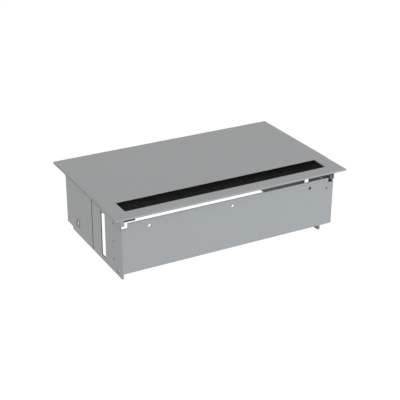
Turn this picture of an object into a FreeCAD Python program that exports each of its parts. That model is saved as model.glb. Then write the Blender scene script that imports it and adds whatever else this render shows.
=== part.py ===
"""Built-in desk socket unit: a sheet steel box that hangs in a desk top by its flange.

Millimetres, +Z up, front of the unit towards -Y.  The origin is the middle of the footprint, on the
level of the lowest sheet edges, and the top of the closed lid is total_height above it.
"""

import FreeCAD
import Part
import Sketcher
import math
import os
import re

# How many of each repeated feature there are
KNUCKLES = 9
BRUSH_RIVETS = 5
POST_RIVETS = 3
FRONT_PARTITION_RIVETS = 1
REAR_PARTITION_RIVETS = 2
POWER_SOCKETS = 4
MODULES = POWER_SOCKETS + 1
LEFT_MIDDLE_RIGHT = ("-1", "0", "1")
LEFT_RIGHT = ("-1", "1")

# Driving dimensions: alias, value
SIZES = {
    # Top plate
    "plate_length": 400.0,
    "plate_depth": 245.0,
    "total_height": 106.0,
    "front_overhang": 13.5,
    "side_overhang": 13.0,
    "rear_overhang": 16.5,
    "flange_sheet": 1.2,
    "trim_sheet": 1.5,
    "lid_sheet": 1.5,
    "lid_lift": 0.6,
    "front_flange": 14.5,
    "plate_rounding": 0.4,
    # Brush slot and lid split
    "front_bar": 22.5,
    "brush_slot_inset": 24.0,
    "lid_setback": 55.3,
    "split_gap": 0.3,
    # Lid hinge
    "knuckle_gap": 0.3,
    "hinge_gap": 0.3,
    "hinge_pin_diameter": 1.6,
    "pin_clearance": 0.05,
    "bumper_diameter": 8.0,
    "bumper_inset": 9.0,
    "bumper_front": 12.0,
    "bumper_rear": 150.0,
    # Sheet steel body
    "sheet": 1.5,
    "overshoot": 2.0,
    "bend_radius": 1.0,
    "collar_drop": 20.0,
    "collar_gap": 0.3,
    "corner_tab_gap": 3.0,
    "corner_depth": 4.2,
    "front_wall_drop": 16.0,
    "front_wall_lift": 8.2,
    "seam_gap": 2.2,
    "seam_setback": 121.5,
    "relief_width": 11.0,
    "relief_drop": 23.8,
    "relief_reach": 3.5,
    "right_step_setback": 30.0,
    "rear_step_inset": 43.0,
    "rear_step_run": 4.0,
    "rear_lift": 4.9,
    # Holes and slots in the shells
    "fixing_hole": 5.0,
    "fixing_inset": 59.0,
    "fixing_drop": 27.2,
    "clamp_slot_width": 14.6,
    "clamp_slot_top": 23.9,
    "clamp_slot_foot": 8.4,
    "left_slot_setback": 72.5,
    "right_slot_setback": 81.2,
    "tie_hole_setback": 24.7,
    "tie_hole_length": 7.0,
    "tie_hole_height": 3.4,
    "tie_hole_lift": 7.6,
    "grommet_hole": 13.0,
    "grommet_inset": 62.5,
    "grommet_lift": 19.5,
    "grommet_bore": 8.0,
    "grommet_lip": 0.6,
    "grommet_lip_diameter": 17.0,
    "grommet_fit": 0.1,
    # Posts that join collar and shells
    "post_width": 16.0,
    "post_sheet": 1.5,
    "post_top_drop": 6.0,
    "post_lift": 5.0,
    "front_post_lift": 14.0,
    "front_post_setback": 41.6,
    "rear_post_inset": 29.0,
    "rivet_diameter": 2.4,
    "rivet_head": 4.2,
    "rivet_head_height": 0.8,
    "rivet_clearance": 0.1,
    "rivet_top_drop": 24.9,
    "rivet_foot": 21.3,
    # Right partition
    "partition_inset": 38.0,
    "partition_sheet": 1.5,
    "partition_flange": 18.0,
    "partition_slot_setback": 46.1,
    "partition_rivet_reach": 9.8,
    "partition_rivet_drop": 33.0,
    "partition_rivet_pitch": 40.0,
    "partition_flange_trim": 12.0,
    # Brush
    "holder_height": 6.0,
    "holder_web": 3.0,
    "brush_root": 2.8,
    "brush_fit": 0.1,
    "brush_sink": 0.1,
    "brush_body": 6.0,
    "brush_fan": 6.0,
    "brush_end_gap": 0.4,
    "brush_rivet_inset": 16.0,
    "brush_rivet_diameter": 1.8,
    "brush_rivet_head": 2.8,
    "end_block_length": 17.0,
    "end_block_lift": 2.8,
    # Socket carrier
    "carrier_sheet": 1.5,
    "shelf_drop": 13.5,
    "carrier_depth": 98.5,
    "face_height": 50.5,
    "carrier_inset": 60.0,
    "return_depth": 16.5,
    "carrier_flange": 26.0,
    "carrier_screw_drop": 32.0,
    "carrier_screw_inset": 41.0,
    "screw_diameter": 4.0,
    "screw_clearance": 0.2,
    "screw_head": 8.0,
    "screw_head_height": 2.2,
    "nut_width": 7.0,
    "nut_height": 3.2,
    # Socket modules
    "module_pitch": 50.0,
    "module_face": 48.0,
    "module_body": 44.0,
    "module_depth": 38.0,
    "module_clearance": 0.3,
    "bezel": 2.0,
    "bezel_corner": 3.0,
    "bezel_rounding": 0.8,
    "recess_diameter": 38.6,
    "recess_depth": 17.5,
    "contact_pitch": 19.0,
    "contact_hole": 5.6,
    "contact_depth": 12.0,
    "sleeve_diameter": 5.2,
    "sleeve_bore": 4.4,
    "sleeve_sink": 1.5,
    "clip_width": 5.0,
    "clip_sheet": 1.0,
    "clip_channel": 2.2,
    "clip_side_gap": 0.5,
    "clip_bump": 2.4,
    "guide_rib_width": 4.6,
    "guide_rib_reach": 2.4,
    "guide_rib_setback": 3.0,
    "contact_mouth": 1.0,
    # Data module and its dust flaps
    "port_width": 11.8,
    "port_height": 8.6,
    "port_depth": 14.0,
    "port_pitch": 21.0,
    "port_drop": 2.0,
    "port_frame_width": 41.0,
    "port_frame_height": 14.0,
    "port_frame_proud": 2.0,
    "lug_width": 3.0,
    "lug_size": 4.2,
    "flap_axis_rise": 9.0,
    "flap_barrel": 3.4,
    "flap_sheet": 1.5,
    "flap_height": 18.0,
    "flap_side_gap": 0.3,
    "flap_pin_diameter": 1.5,
    # Wiring box, bars and inlet
    "box_wall": 1.5,
    "box_side_gap": 4.0,
    "box_front_gap": 8.5,
    "box_depth": 62.0,
    "bar_width": 8.0,
    "bar_sheet": 1.5,
    "bar_pitch": 13.0,
    "bar_length": 236.0,
    "inlet_inset": 41.0,
    "inlet_setback": 54.5,
    "inlet_length": 30.0,
    "inlet_width": 22.0,
    "inlet_height": 30.0,
    "inlet_rim": 4.0,
    "inlet_rim_sheet": 2.5,
    "inlet_wall": 2.0,
    "inlet_recess": 20.0,
    "inlet_fit": 0.2,
    "inlet_pin_width": 4.0,
    "inlet_pin_sheet": 2.0,
    "inlet_pin_pitch": 8.0,
    "inlet_pin_length": 15.0,
    # Earth stud on the rear wall
    "stud_inset": 40.0,
    "stud_drop": 52.0,
    "stud_diameter": 5.0,
    "stud_length": 14.0,
    "washer_diameter": 11.0,
    "washer_sheet": 1.0,
    "stud_nut_width": 8.0,
    "stud_nut_height": 4.0,
}

# Places worked out from the driving dimensions
PLACES = {
    "half_length": "plate_length / 2",
    "front_edge": "-plate_depth / 2",
    "rear_edge": "plate_depth / 2",
    "lid_bottom": "total_height - lid_sheet",
    "flange_top": "lid_bottom - lid_lift",
    "flange_bottom": "flange_top - flange_sheet",
    "trim_top": "flange_top + trim_sheet",
    "opening_front": "front_edge + front_flange",
    "bar_rear": "front_edge + front_bar",
    "brush_half": "half_length - brush_slot_inset",
    "brush_slot_length": "2 * brush_half",
    "lid_front": "front_edge + lid_setback",
    "trim_rear": "lid_front - split_gap",
    "barrel": "total_height - flange_bottom",
    "hinge_y": "rear_edge - barrel / 2",
    "hinge_z": "total_height - barrel / 2",
    "leaf_rear": "hinge_y - barrel / 2 - hinge_gap",
    "pin_bore": "hinge_pin_diameter + 2 * pin_clearance",
    "knuckle_pitch": f"plate_length / {KNUCKLES}",
    "body_half": "half_length - side_overhang",
    "body_front": "front_edge + front_overhang",
    "body_rear": "rear_edge - rear_overhang",
    "inner_half": "body_half - sheet",
    "inner_front": "body_front + sheet",
    "inner_rear": "body_rear - sheet",
    "collar_bottom": "total_height - collar_drop",
    "corner_rear": "body_front + corner_depth",
    "tab_outer": "inner_half - corner_tab_gap",
    "tab_inner": "tab_outer - sheet",
    "wall_top": "total_height - front_wall_drop",
    "wing_top": "collar_bottom - collar_gap",
    "seam": "front_edge + seam_setback",
    "rear_step": "rear_edge - rear_step_inset",
    "grommet_y": "rear_edge - grommet_inset",
    "fixing_pitch": "half_length - fixing_inset",
    "front_post": "front_edge + front_post_setback",
    "rear_post": "rear_edge - rear_post_inset",
    "rivet_pitch": f"(total_height - rivet_top_drop - rivet_foot) / {POST_RIVETS - 1}",
    "post_top": "total_height - post_top_drop",
    "post_inner": "inner_half - post_sheet",
    "partition_place": "half_length - partition_inset",
    "partition_right": "partition_place + partition_sheet",
    "partition_end": "partition_right + partition_flange",
    "holder_front": "opening_front + split_gap",
    "holder_bottom": "flange_top - holder_height",
    "root_bottom": "holder_bottom + (holder_height - brush_root) / 2",
    "root_front": "holder_front + holder_web",
    "brush_top": "trim_top - brush_sink",
    "brush_bottom": "brush_top - brush_body",
    "brush_tip": "lid_front - brush_end_gap",
    "brush_rivet_y": "holder_front + holder_web / 2",
    "brush_rivet_pitch": f"(brush_slot_length - 2 * brush_rivet_inset) / {BRUSH_RIVETS - 1}",
    "end_block_bottom": "wall_top + end_block_lift",
    "shelf_top": "total_height - shelf_drop",
    "shelf_bottom": "shelf_top - carrier_sheet",
    "face_front": "inner_rear - carrier_depth",
    "face_rear": "face_front + carrier_sheet",
    "face_bottom": "shelf_top - face_height",
    "return_top": "face_bottom + carrier_sheet",
    "carrier_screw_z": "total_height - carrier_screw_drop",
    "carrier_left": "half_length - carrier_inset",
    "carrier_centre": "(partition_place - carrier_left) / 2",
    "carrier_screw_pitch": "(partition_place + carrier_left) / 2 - carrier_screw_inset",
    "module_z": "(shelf_top + face_bottom) / 2",
    "first_module": f"carrier_centre - {MODULES - 1} / 2 * module_pitch",
    "data_place": f"carrier_centre + {MODULES - 1} / 2 * module_pitch",
    "box_left": "first_module - module_body / 2 - box_side_gap",
    "box_right": "data_place + module_body / 2 + box_side_gap",
    "box_front": "face_front + box_front_gap",
    "box_rear": "box_front + box_depth",
    "module_back": "face_front + module_depth",
    "inlet_place": "box_right - inlet_inset",
    "inlet_y": "face_front + inlet_setback",
    "flap_axis_y": "-bezel - port_frame_proud - split_gap - flap_sheet + flap_barrel / 2",
    "stud_place": "half_length - stud_inset",
    "stud_z": "total_height - stud_drop",
}

doc = FreeCAD.newDocument("desk_socket_unit")
sizes = doc.addObject("Spreadsheet::Sheet", "Sizes")
for row, (alias, size) in enumerate(SIZES.items(), start=1):
    sizes.set(f"A{row}", alias)
    sizes.set(f"B{row}", str(size))
    sizes.setAlias(f"B{row}", alias)
doc.recompute()


def formula(text):
    """Turn plain names of sizes and places into references to the sheet's cells."""
    def reference(match):
        word = match.group(0)
        if word in SIZES:
            return f"Sizes.{word}"
        if word in PLACES:
            return f"({formula(PLACES[word])})"
        return word
    return re.sub(r"[a-z_]+", reference, text)


def number(text):
    """Value of a formula at the present sizes."""
    return float(sizes.evalExpression(formula(text)))


def bind(item, prop, text):
    """Tie a property of a document object to the sheet."""
    item.setExpression(prop, formula(text))


def place(item, x="0", y="0", z="0"):
    """Tie an object's position to the sheet."""
    bind(item, "Placement.Base.x", x)
    bind(item, "Placement.Base.y", y)
    bind(item, "Placement.Base.z", z)


# Helpers for bodies, sketches and features

UNIT_Z = FreeCAD.Vector(0, 0, 1)
LEVEL_SIGN = {"XY_Plane": "", "XZ_Plane": "-", "YZ_Plane": ""}
nodes = []


def node(item, label):
    """Give a finished sub-part the name that its file takes."""
    item.Label = label
    nodes.append(item)
    return item


def new_body(label):
    return node(doc.addObject("PartDesign::Body", label), label)


def origin_feature(body, role):
    return next(item for item in body.Origin.OriginFeatures if item.Role == role)


def sketch(body, name, plane, level="0"):
    """Empty sketch on one of the body's own planes, shifted to a level along that plane's axis."""
    item = body.newObject("Sketcher::SketchObject", name)
    item.AttachmentSupport = [(origin_feature(body, plane), "")]
    item.MapMode = "FlatFace"
    bind(item, "AttachmentOffset.Base.z", f"{LEVEL_SIGN[plane]}({level})")
    return item


def dimension(item, kind, geometry, point, text):
    """Named dimension of a sketch from its origin to a point, tied to the sheet."""
    index = item.addConstraint(Sketcher.Constraint(kind, -1, 1, geometry, point, 1.0))
    item.renameConstraint(index, f"size_{index}")
    bind(item, f"Constraints.size_{index}", text)


def outline(item, corners):
    """Closed outline with straight sides through the given corners."""
    first = item.GeometryCount
    count = len(corners)
    turn = 2 * math.pi / count
    spots = [FreeCAD.Vector(math.cos(turn * step), math.sin(turn * step), 0) for step in range(count)]
    for step in range(count):
        item.addGeometry(Part.LineSegment(spots[step], spots[(step + 1) % count]), False)
    for step in range(count):
        following = first + (step + 1) % count
        item.addConstraint(Sketcher.Constraint("Coincident", first + step, 2, following, 1))
    for step, (across, up) in enumerate(corners):
        dimension(item, "DistanceX", first + step, 1, across)
        dimension(item, "DistanceY", first + step, 1, up)


def rectangle(item, left, right, bottom, top):
    outline(item, [(left, bottom), (right, bottom), (right, top), (left, top)])


def circle(item, across, up, diameter):
    index = item.addGeometry(Part.Circle(FreeCAD.Vector(), UNIT_Z, 1.0), False)
    dimension(item, "DistanceX", index, 3, across)
    dimension(item, "DistanceY", index, 3, up)
    size = item.addConstraint(Sketcher.Constraint("Diameter", index, 2.0))
    item.renameConstraint(size, f"size_{size}")
    bind(item, f"Constraints.size_{size}", diameter)


def pad(body, profile, name, length, reverse=False, symmetric=False):
    """Solid raised from a sketch."""
    item = body.newObject("PartDesign::Pad", name)
    item.Profile = profile
    item.Reversed = reverse
    if symmetric:
        item.SideType = "Symmetric"
    bind(item, "Length", length)
    doc.recompute()
    return item


def pocket(body, profile, name, length=None, reverse=False, symmetric=False):
    """Cut made from a sketch, through everything where no length is given."""
    before = body.Shape.Volume
    item = body.newObject("PartDesign::Pocket", name)
    item.Profile = profile
    item.Reversed = reverse
    if symmetric:
        item.SideType = "Symmetric"
    if length is None:
        item.Type = "ThroughAll"
    else:
        bind(item, "Length", length)
    doc.recompute()
    if not body.Shape.Volume < before:
        raise RuntimeError(f"{body.Label}: {name} cuts nothing")
    return item


def row_pattern(body, name, features, spacing, count):
    """Copies of features in a row along the body's own X axis."""
    item = body.newObject("PartDesign::LinearPattern", name)
    item.Originals = features
    item.Direction = (origin_feature(body, "X_Axis"), [""])
    bind(item, "Length", f"({spacing}) * {count - 1}")
    item.Occurrences = count
    body.Tip = item
    doc.recompute()
    return item


def round_edges(body, name, radius, wanted):
    """Fillet on those edges of the body whose two ends pass the test."""
    base = body.Tip
    names = []
    for index, edge in enumerate(base.Shape.Edges, start=1):
        if len(edge.Vertexes) == 2 and wanted(edge.Vertexes[0].Point, edge.Vertexes[1].Point):
            names.append(f"Edge{index}")
    item = body.newObject("PartDesign::Fillet", name)
    item.Base = (base, names)
    bind(item, "Radius", radius)
    doc.recompute()
    return item


def near(first, second):
    return abs(first - second) < 1e-4


def upright_bend(x, y):
    """Test for an upright edge at a place, on either side of the unit."""
    across = number(x)
    depth = number(y)

    def wanted(start, end):
        on_side = near(abs(start.x), abs(across)) and near(start.x, end.x)
        return on_side and near(start.y, depth) and near(end.y, depth)
    return wanted


def cross_bend(y, z):
    """Test for an edge that runs across the unit at a depth and a height."""
    depth = number(y)
    height = number(z)

    def wanted(start, end):
        level = near(start.z, height) and near(end.z, height)
        return level and near(start.y, depth) and near(end.y, depth)
    return wanted


def top_edge(height, sides):
    """Test for a level edge at a height that lies on one of the named sides."""
    level = number(height)
    limits = [(axis, number(text)) for axis, text in sides]

    def wanted(start, end):
        if not (near(start.z, level) and near(end.z, level)):
            return False
        return any(near(getattr(start, axis), at) and near(getattr(end, axis), at) for axis, at in limits)
    return wanted


def cylinder(name, diameter, length, x, y, z, axis="z"):
    """Round bar whose start face has its centre at a place and which runs along an axis."""
    item = doc.addObject("Part::Cylinder", name)
    bind(item, "Radius", f"({diameter}) / 2")
    bind(item, "Height", length)
    turns = {"x": (0, 1, 0, 90), "y": (-1, 0, 0, 90), "z": (0, 0, 1, 0)}
    across, along, up, angle = turns[axis]
    item.Placement = FreeCAD.Placement(
        FreeCAD.Vector(), FreeCAD.Rotation(FreeCAD.Vector(across, along, up), angle))
    place(item, x, y, z)
    return item


def block(name, length, width, height, x, y, z):
    """Box with its low corner at a place."""
    item = doc.addObject("Part::Box", name)
    bind(item, "Length", length)
    bind(item, "Width", width)
    bind(item, "Height", height)
    place(item, x, y, z)
    return item


def cut(name, base, tool):
    item = doc.addObject("Part::Cut", name)
    item.Base = base
    item.Tool = tool
    return item


def fuse(name, base, tool):
    item = doc.addObject("Part::Fuse", name)
    item.Base = base
    item.Tool = tool
    return item


def group(label, items):
    """Several like solids that share one node."""
    item = doc.addObject("Part::Compound", label)
    item.Links = items
    return node(item, label)


# Top frame, trim and lid

def add_knuckles(body, first_zone, count, neck_bottom, neck_top):
    """Hinge barrels on every other zone of the rear edge, each with its neck, and the bore for the pin."""
    start = f"-half_length + {first_zone} * knuckle_pitch + knuckle_gap / 2"
    barrel = sketch(body, "barrel_outline", "YZ_Plane", start)
    circle(barrel, "hinge_y", "hinge_z", "barrel")
    barrel_pad = pad(body, barrel, "barrel_pad", "knuckle_pitch - knuckle_gap")
    neck = sketch(body, "neck_outline", "YZ_Plane", start)
    rectangle(neck, "leaf_rear - overshoot", "hinge_y", neck_bottom, neck_top)
    neck_pad = pad(body, neck, "neck_pad", "knuckle_pitch - knuckle_gap")
    row_pattern(body, "knuckles", [barrel_pad, neck_pad], "2 * knuckle_pitch", count)
    bore = sketch(body, "pin_bore_outline", "YZ_Plane")
    circle(bore, "hinge_y", "hinge_z", "pin_bore")
    pocket(body, bore, "pin_bore", symmetric=True)


def make_top_frame():
    body = new_body("top_frame")
    side = sketch(body, "collar_side", "YZ_Plane")
    rectangle(side, "body_front", "body_rear", "collar_bottom", "flange_top")
    pad(body, side, "collar_block", "2 * body_half", symmetric=True)
    hollow = sketch(body, "collar_inside", "XY_Plane")
    rectangle(hollow, "-inner_half", "inner_half", "front_edge", "inner_rear")
    pocket(body, hollow, "collar_hollow", symmetric=True)
    slits = sketch(body, "collar_seam_outline", "YZ_Plane")
    rectangle(slits, "seam - seam_gap / 2", "seam + seam_gap / 2",
              "collar_bottom - overshoot", "flange_bottom")
    pocket(body, slits, "collar_seams", symmetric=True)
    ring = sketch(body, "flange_outline", "XY_Plane", "flange_bottom")
    rectangle(ring, "-half_length", "half_length", "front_edge", "leaf_rear")
    rectangle(ring, "-inner_half", "inner_half", "opening_front", "inner_rear")
    pad(body, ring, "flange", "flange_sheet")
    round_edges(body, "collar_bend", "bend_radius", top_edge(
        "flange_bottom", [("x", "-body_half"), ("x", "body_half"), ("y", "body_rear")]))
    add_knuckles(body, 0, (KNUCKLES + 1) // 2, "flange_bottom", "flange_top")


def make_corner_tabs():
    """Angle plates in the front corners of the flange's opening; the left one is folded over to the collar."""
    depth = "corner_rear - opening_front"
    angles = []
    starts = {"left": ("-inner_half", "-tab_outer"), "right": ("tab_inner", "tab_inner")}
    for side, (gusset_left, tab_left) in starts.items():
        gusset = block(f"{side}_gusset", "inner_half - tab_inner", depth, "flange_sheet",
                       gusset_left, "opening_front", "flange_bottom")
        tab = block(f"{side}_tab", "sheet", depth, "flange_top - collar_bottom",
                    tab_left, "opening_front", "collar_bottom")
        angles.append(fuse(f"{side}_angle", gusset, tab))
    fold = block("left_fold", "corner_tab_gap", "sheet", "flange_bottom - collar_bottom",
                 "-inner_half", "opening_front", "collar_bottom")
    left, right = angles
    group("corner_tabs", [fuse("left_folded_angle", left, fold), right])


def make_front_trim():
    body = new_body("front_trim")
    plan = sketch(body, "trim_outline", "XY_Plane", "flange_top")
    outline(plan, [
        ("-half_length", "front_edge"),
        ("half_length", "front_edge"),
        ("half_length", "trim_rear"),
        ("brush_half", "trim_rear"),
        ("brush_half", "bar_rear"),
        ("-brush_half", "bar_rear"),
        ("-brush_half", "trim_rear"),
        ("-half_length", "trim_rear"),
    ])
    pad(body, plan, "trim_plate", "trim_sheet")
    round_edges(body, "trim_rounding", "plate_rounding", top_edge(
        "trim_top", [("x", "-half_length"), ("x", "half_length"), ("y", "front_edge")]))


def make_lid():
    body = new_body("lid")
    plan = sketch(body, "lid_outline", "XY_Plane", "lid_bottom")
    rectangle(plan, "-half_length", "half_length", "lid_front", "leaf_rear")
    pad(body, plan, "lid_plate", "lid_sheet")
    round_edges(body, "lid_rounding", "plate_rounding", top_edge(
        "total_height", [("x", "-half_length"), ("x", "half_length"), ("y", "lid_front")]))
    add_knuckles(body, 1, KNUCKLES // 2, "lid_bottom", "total_height")


def make_hinge_pin():
    length = "plate_length - knuckle_gap"
    pin = cylinder("hinge_pin", "hinge_pin_diameter", length,
                   "-half_length + knuckle_gap / 2", "hinge_y", "hinge_z", "x")
    node(pin, "hinge_pin")


def make_lid_bumpers():
    pads = []
    for side in LEFT_RIGHT:
        for back in ("bumper_front", "bumper_rear"):
            x = f"{side} * (half_length - bumper_inset)"
            pads.append(cylinder("bumper", "bumper_diameter", "lid_lift",
                                 x, f"lid_front + {back}", "flange_top"))
    group("lid_bumpers", pads)


# Brush in the slot

def make_brush():
    body = new_body("brush_holder")
    end = sketch(body, "channel_outline", "YZ_Plane")
    outline(end, [
        ("holder_front", "holder_bottom"),
        ("bar_rear", "holder_bottom"),
        ("bar_rear", "root_bottom - brush_fit"),
        ("root_front", "root_bottom - brush_fit"),
        ("root_front", "root_bottom + brush_root + brush_fit"),
        ("bar_rear", "root_bottom + brush_root + brush_fit"),
        ("bar_rear", "flange_top"),
        ("holder_front", "flange_top"),
    ])
    pad(body, end, "channel", "brush_slot_length - 2 * brush_end_gap", symmetric=True)
    hole = sketch(body, "rivet_hole_outline", "XY_Plane")
    circle(hole, f"-brush_rivet_pitch * {BRUSH_RIVETS - 1} / 2", "brush_rivet_y",
           "brush_rivet_diameter + 2 * rivet_clearance")
    first = pocket(body, hole, "rivet_hole", symmetric=True)
    row_pattern(body, "rivet_holes", [first], "brush_rivet_pitch", BRUSH_RIVETS)

    rivets = []
    for index in range(BRUSH_RIVETS):
        x = f"brush_rivet_pitch * ({index} - {BRUSH_RIVETS - 1} / 2)"
        head = cylinder("brush_rivet_head", "brush_rivet_head", "rivet_head_height",
                        x, "brush_rivet_y", "holder_bottom - rivet_head_height")
        shank = cylinder("brush_rivet_shank", "brush_rivet_diameter", "holder_height",
                         x, "brush_rivet_y", "holder_bottom")
        rivets.append(fuse("brush_rivet", head, shank))
    group("brush_rivets", rivets)

    blocks = []
    for start in ("-tab_inner", "tab_inner - end_block_length"):
        blocks.append(block("brush_end_block", "end_block_length", "corner_depth",
                            "holder_bottom - end_block_bottom", start, "body_front", "end_block_bottom"))
    group("brush_end_blocks", blocks)

    bristles = new_body("brush_bristles")
    section = sketch(bristles, "bristle_outline", "YZ_Plane")
    outline(section, [
        ("root_front", "root_bottom"),
        ("bar_rear", "root_bottom"),
        ("bar_rear + brush_fan", "brush_bottom"),
        ("brush_tip", "brush_bottom"),
        ("brush_tip", "brush_top"),
        ("bar_rear + split_gap", "brush_top"),
        ("bar_rear + split_gap", "root_bottom + brush_root"),
        ("root_front", "root_bottom + brush_root"),
    ])
    pad(bristles, section, "bristle_block", "brush_slot_length - 2 * brush_end_gap", symmetric=True)


# Sheet steel shells

def shell_plan(body, name, open_end, wall, inner_wall, height):
    """Bent sheet with one wall across and two wings, rounded at its two bends."""
    plan = sketch(body, name, "XY_Plane")
    outline(plan, [
        ("-body_half", open_end),
        ("-body_half", wall),
        ("body_half", wall),
        ("body_half", open_end),
        ("inner_half", open_end),
        ("inner_half", inner_wall),
        ("-inner_half", inner_wall),
        ("-inner_half", open_end),
    ])
    pad(body, plan, "bent_sheet", height)
    round_edges(body, "outer_bends", "bend_radius + sheet", upright_bend("body_half", wall))
    round_edges(body, "inner_bends", "bend_radius", upright_bend("inner_half", inner_wall))


def make_front_shell():
    body = new_body("front_shell")
    shell_plan(body, "front_plan", "seam - seam_gap / 2", "body_front", "inner_front", "wall_top")

    wings = sketch(body, "wing_top_outline", "YZ_Plane")
    rectangle(wings, "body_front + relief_reach", "seam", "wing_top", "total_height")
    pocket(body, wings, "wing_tops", symmetric=True)

    reliefs = sketch(body, "relief_outline", "XZ_Plane", "body_front + relief_reach")
    for side in LEFT_RIGHT:
        rectangle(reliefs, f"{side} * (body_half - relief_width)", f"{side} * half_length",
                  "total_height - relief_drop", "total_height")
    pocket(body, reliefs, "corner_reliefs", reverse=True)

    foot = sketch(body, "wall_foot_outline", "XZ_Plane", "body_front + relief_reach")
    rectangle(foot, "-body_half + bend_radius + sheet", "half_length", "-overshoot", "front_wall_lift")
    pocket(body, foot, "wall_foot", reverse=True)

    step = sketch(body, "right_step_outline", "YZ_Plane")
    rectangle(step, "front_edge", "front_edge + right_step_setback", "-overshoot", "front_wall_lift")
    pocket(body, step, "right_step", reverse=True)

    holes = sketch(body, "fixing_hole_outline", "XZ_Plane")
    for side in LEFT_MIDDLE_RIGHT:
        circle(holes, f"{side} * fixing_pitch", "total_height - fixing_drop", "fixing_hole")
    circle(holes, "partition_right + partition_rivet_reach", "total_height - partition_rivet_drop",
           "rivet_diameter + 2 * rivet_clearance")
    pocket(body, holes, "front_holes", reverse=True)

    left = sketch(body, "left_slot_outline", "YZ_Plane")
    rectangle(left, "front_edge + left_slot_setback", "front_edge + left_slot_setback + clamp_slot_width",
              "clamp_slot_foot", "total_height - clamp_slot_top")
    rectangle(left, "front_edge + tie_hole_setback", "front_edge + tie_hole_setback + tie_hole_length",
              "tie_hole_lift - tie_hole_height / 2", "tie_hole_lift + tie_hole_height / 2")
    pocket(body, left, "left_slots")

    right = sketch(body, "right_slot_outline", "YZ_Plane")
    rectangle(right, "front_edge + right_slot_setback", "front_edge + right_slot_setback + clamp_slot_width",
              "clamp_slot_foot", "total_height - clamp_slot_top")
    pocket(body, right, "right_slot", reverse=True)

    rivets = sketch(body, "post_rivet_outline", "YZ_Plane")
    for index in range(POST_RIVETS):
        circle(rivets, "front_post",
               f"total_height - rivet_top_drop - {index} * rivet_pitch",
               "rivet_diameter + 2 * rivet_clearance")
    pocket(body, rivets, "post_rivet_holes", symmetric=True)


def make_rear_shell():
    body = new_body("rear_shell")
    shell_plan(body, "rear_plan", "seam + seam_gap / 2", "body_rear", "inner_rear", "wing_top")

    foot = sketch(body, "rear_step_outline", "YZ_Plane")
    outline(foot, [
        ("rear_step", "-overshoot"),
        ("rear_step", "0"),
        ("rear_step + rear_step_run", "rear_lift"),
        ("rear_edge", "rear_lift"),
        ("rear_edge", "-overshoot"),
    ])
    pocket(body, foot, "rear_step", symmetric=True)

    cable = sketch(body, "grommet_hole_outline", "YZ_Plane")
    circle(cable, "grommet_y", "grommet_lift", "grommet_hole")
    pocket(body, cable, "grommet_hole")

    holes = sketch(body, "rear_hole_outline", "XZ_Plane")
    for side in LEFT_MIDDLE_RIGHT:
        circle(holes, f"carrier_centre + {side} * carrier_screw_pitch", "carrier_screw_z",
               "screw_diameter + 2 * screw_clearance")
    for index in range(REAR_PARTITION_RIVETS):
        circle(holes, "partition_right + partition_rivet_reach",
               f"total_height - partition_rivet_drop - {index} * partition_rivet_pitch",
               "rivet_diameter + 2 * rivet_clearance")
    pocket(body, holes, "rear_holes")


def make_grommet():
    body = new_body("cable_grommet")
    ring = sketch(body, "ring_section", "XY_Plane")
    lip = "sheet / 2 + grommet_fit + grommet_lip"
    neck = "sheet / 2 + grommet_fit"
    outline(ring, [
        (f"-({lip})", "grommet_bore / 2"),
        (lip, "grommet_bore / 2"),
        (lip, "grommet_lip_diameter / 2"),
        (neck, "grommet_lip_diameter / 2"),
        (neck, "grommet_hole / 2 - grommet_fit"),
        (f"-({neck})", "grommet_hole / 2 - grommet_fit"),
        (f"-({neck})", "grommet_lip_diameter / 2"),
        (f"-({lip})", "grommet_lip_diameter / 2"),
    ])
    turned = body.newObject("PartDesign::Revolution", "ring")
    turned.Profile = ring
    turned.ReferenceAxis = (origin_feature(body, "X_Axis"), [""])
    place(body, "-body_half + sheet / 2", "grommet_y", "grommet_lift")


def make_posts():
    rivets = []
    for label, side in (("left", "-1"), ("right", "1")):
        inner = "-inner_half" if side == "-1" else "post_inner"
        for spot, middle, foot in (("front", "front_post", "front_post_lift"),
                                   ("seam", "seam", "post_lift"),
                                   ("rear", "rear_post", "post_lift")):
            body = new_body(f"{label}_{spot}_post")
            face = sketch(body, "post_outline", "YZ_Plane", inner)
            rectangle(face, f"{middle} - post_width / 2", f"{middle} + post_width / 2",
                      foot, "post_top")
            if spot == "front":
                for index in range(POST_RIVETS):
                    circle(face, middle, f"total_height - rivet_top_drop - {index} * rivet_pitch",
                           "rivet_diameter + 2 * rivet_clearance")
            pad(body, face, "post", "post_sheet")
        outer = "-body_half - rivet_head_height" if side == "-1" else "body_half"
        start = "-body_half" if side == "-1" else "post_inner"
        for index in range(POST_RIVETS):
            height = f"total_height - rivet_top_drop - {index} * rivet_pitch"
            head = cylinder("post_rivet_head", "rivet_head", "rivet_head_height",
                            outer, "front_post", height, "x")
            shank = cylinder("post_rivet_shank", "rivet_diameter", "sheet + post_sheet",
                             start, "front_post", height, "x")
            rivets.append(fuse("post_rivet", head, shank))
    group("post_rivets", rivets)


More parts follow.
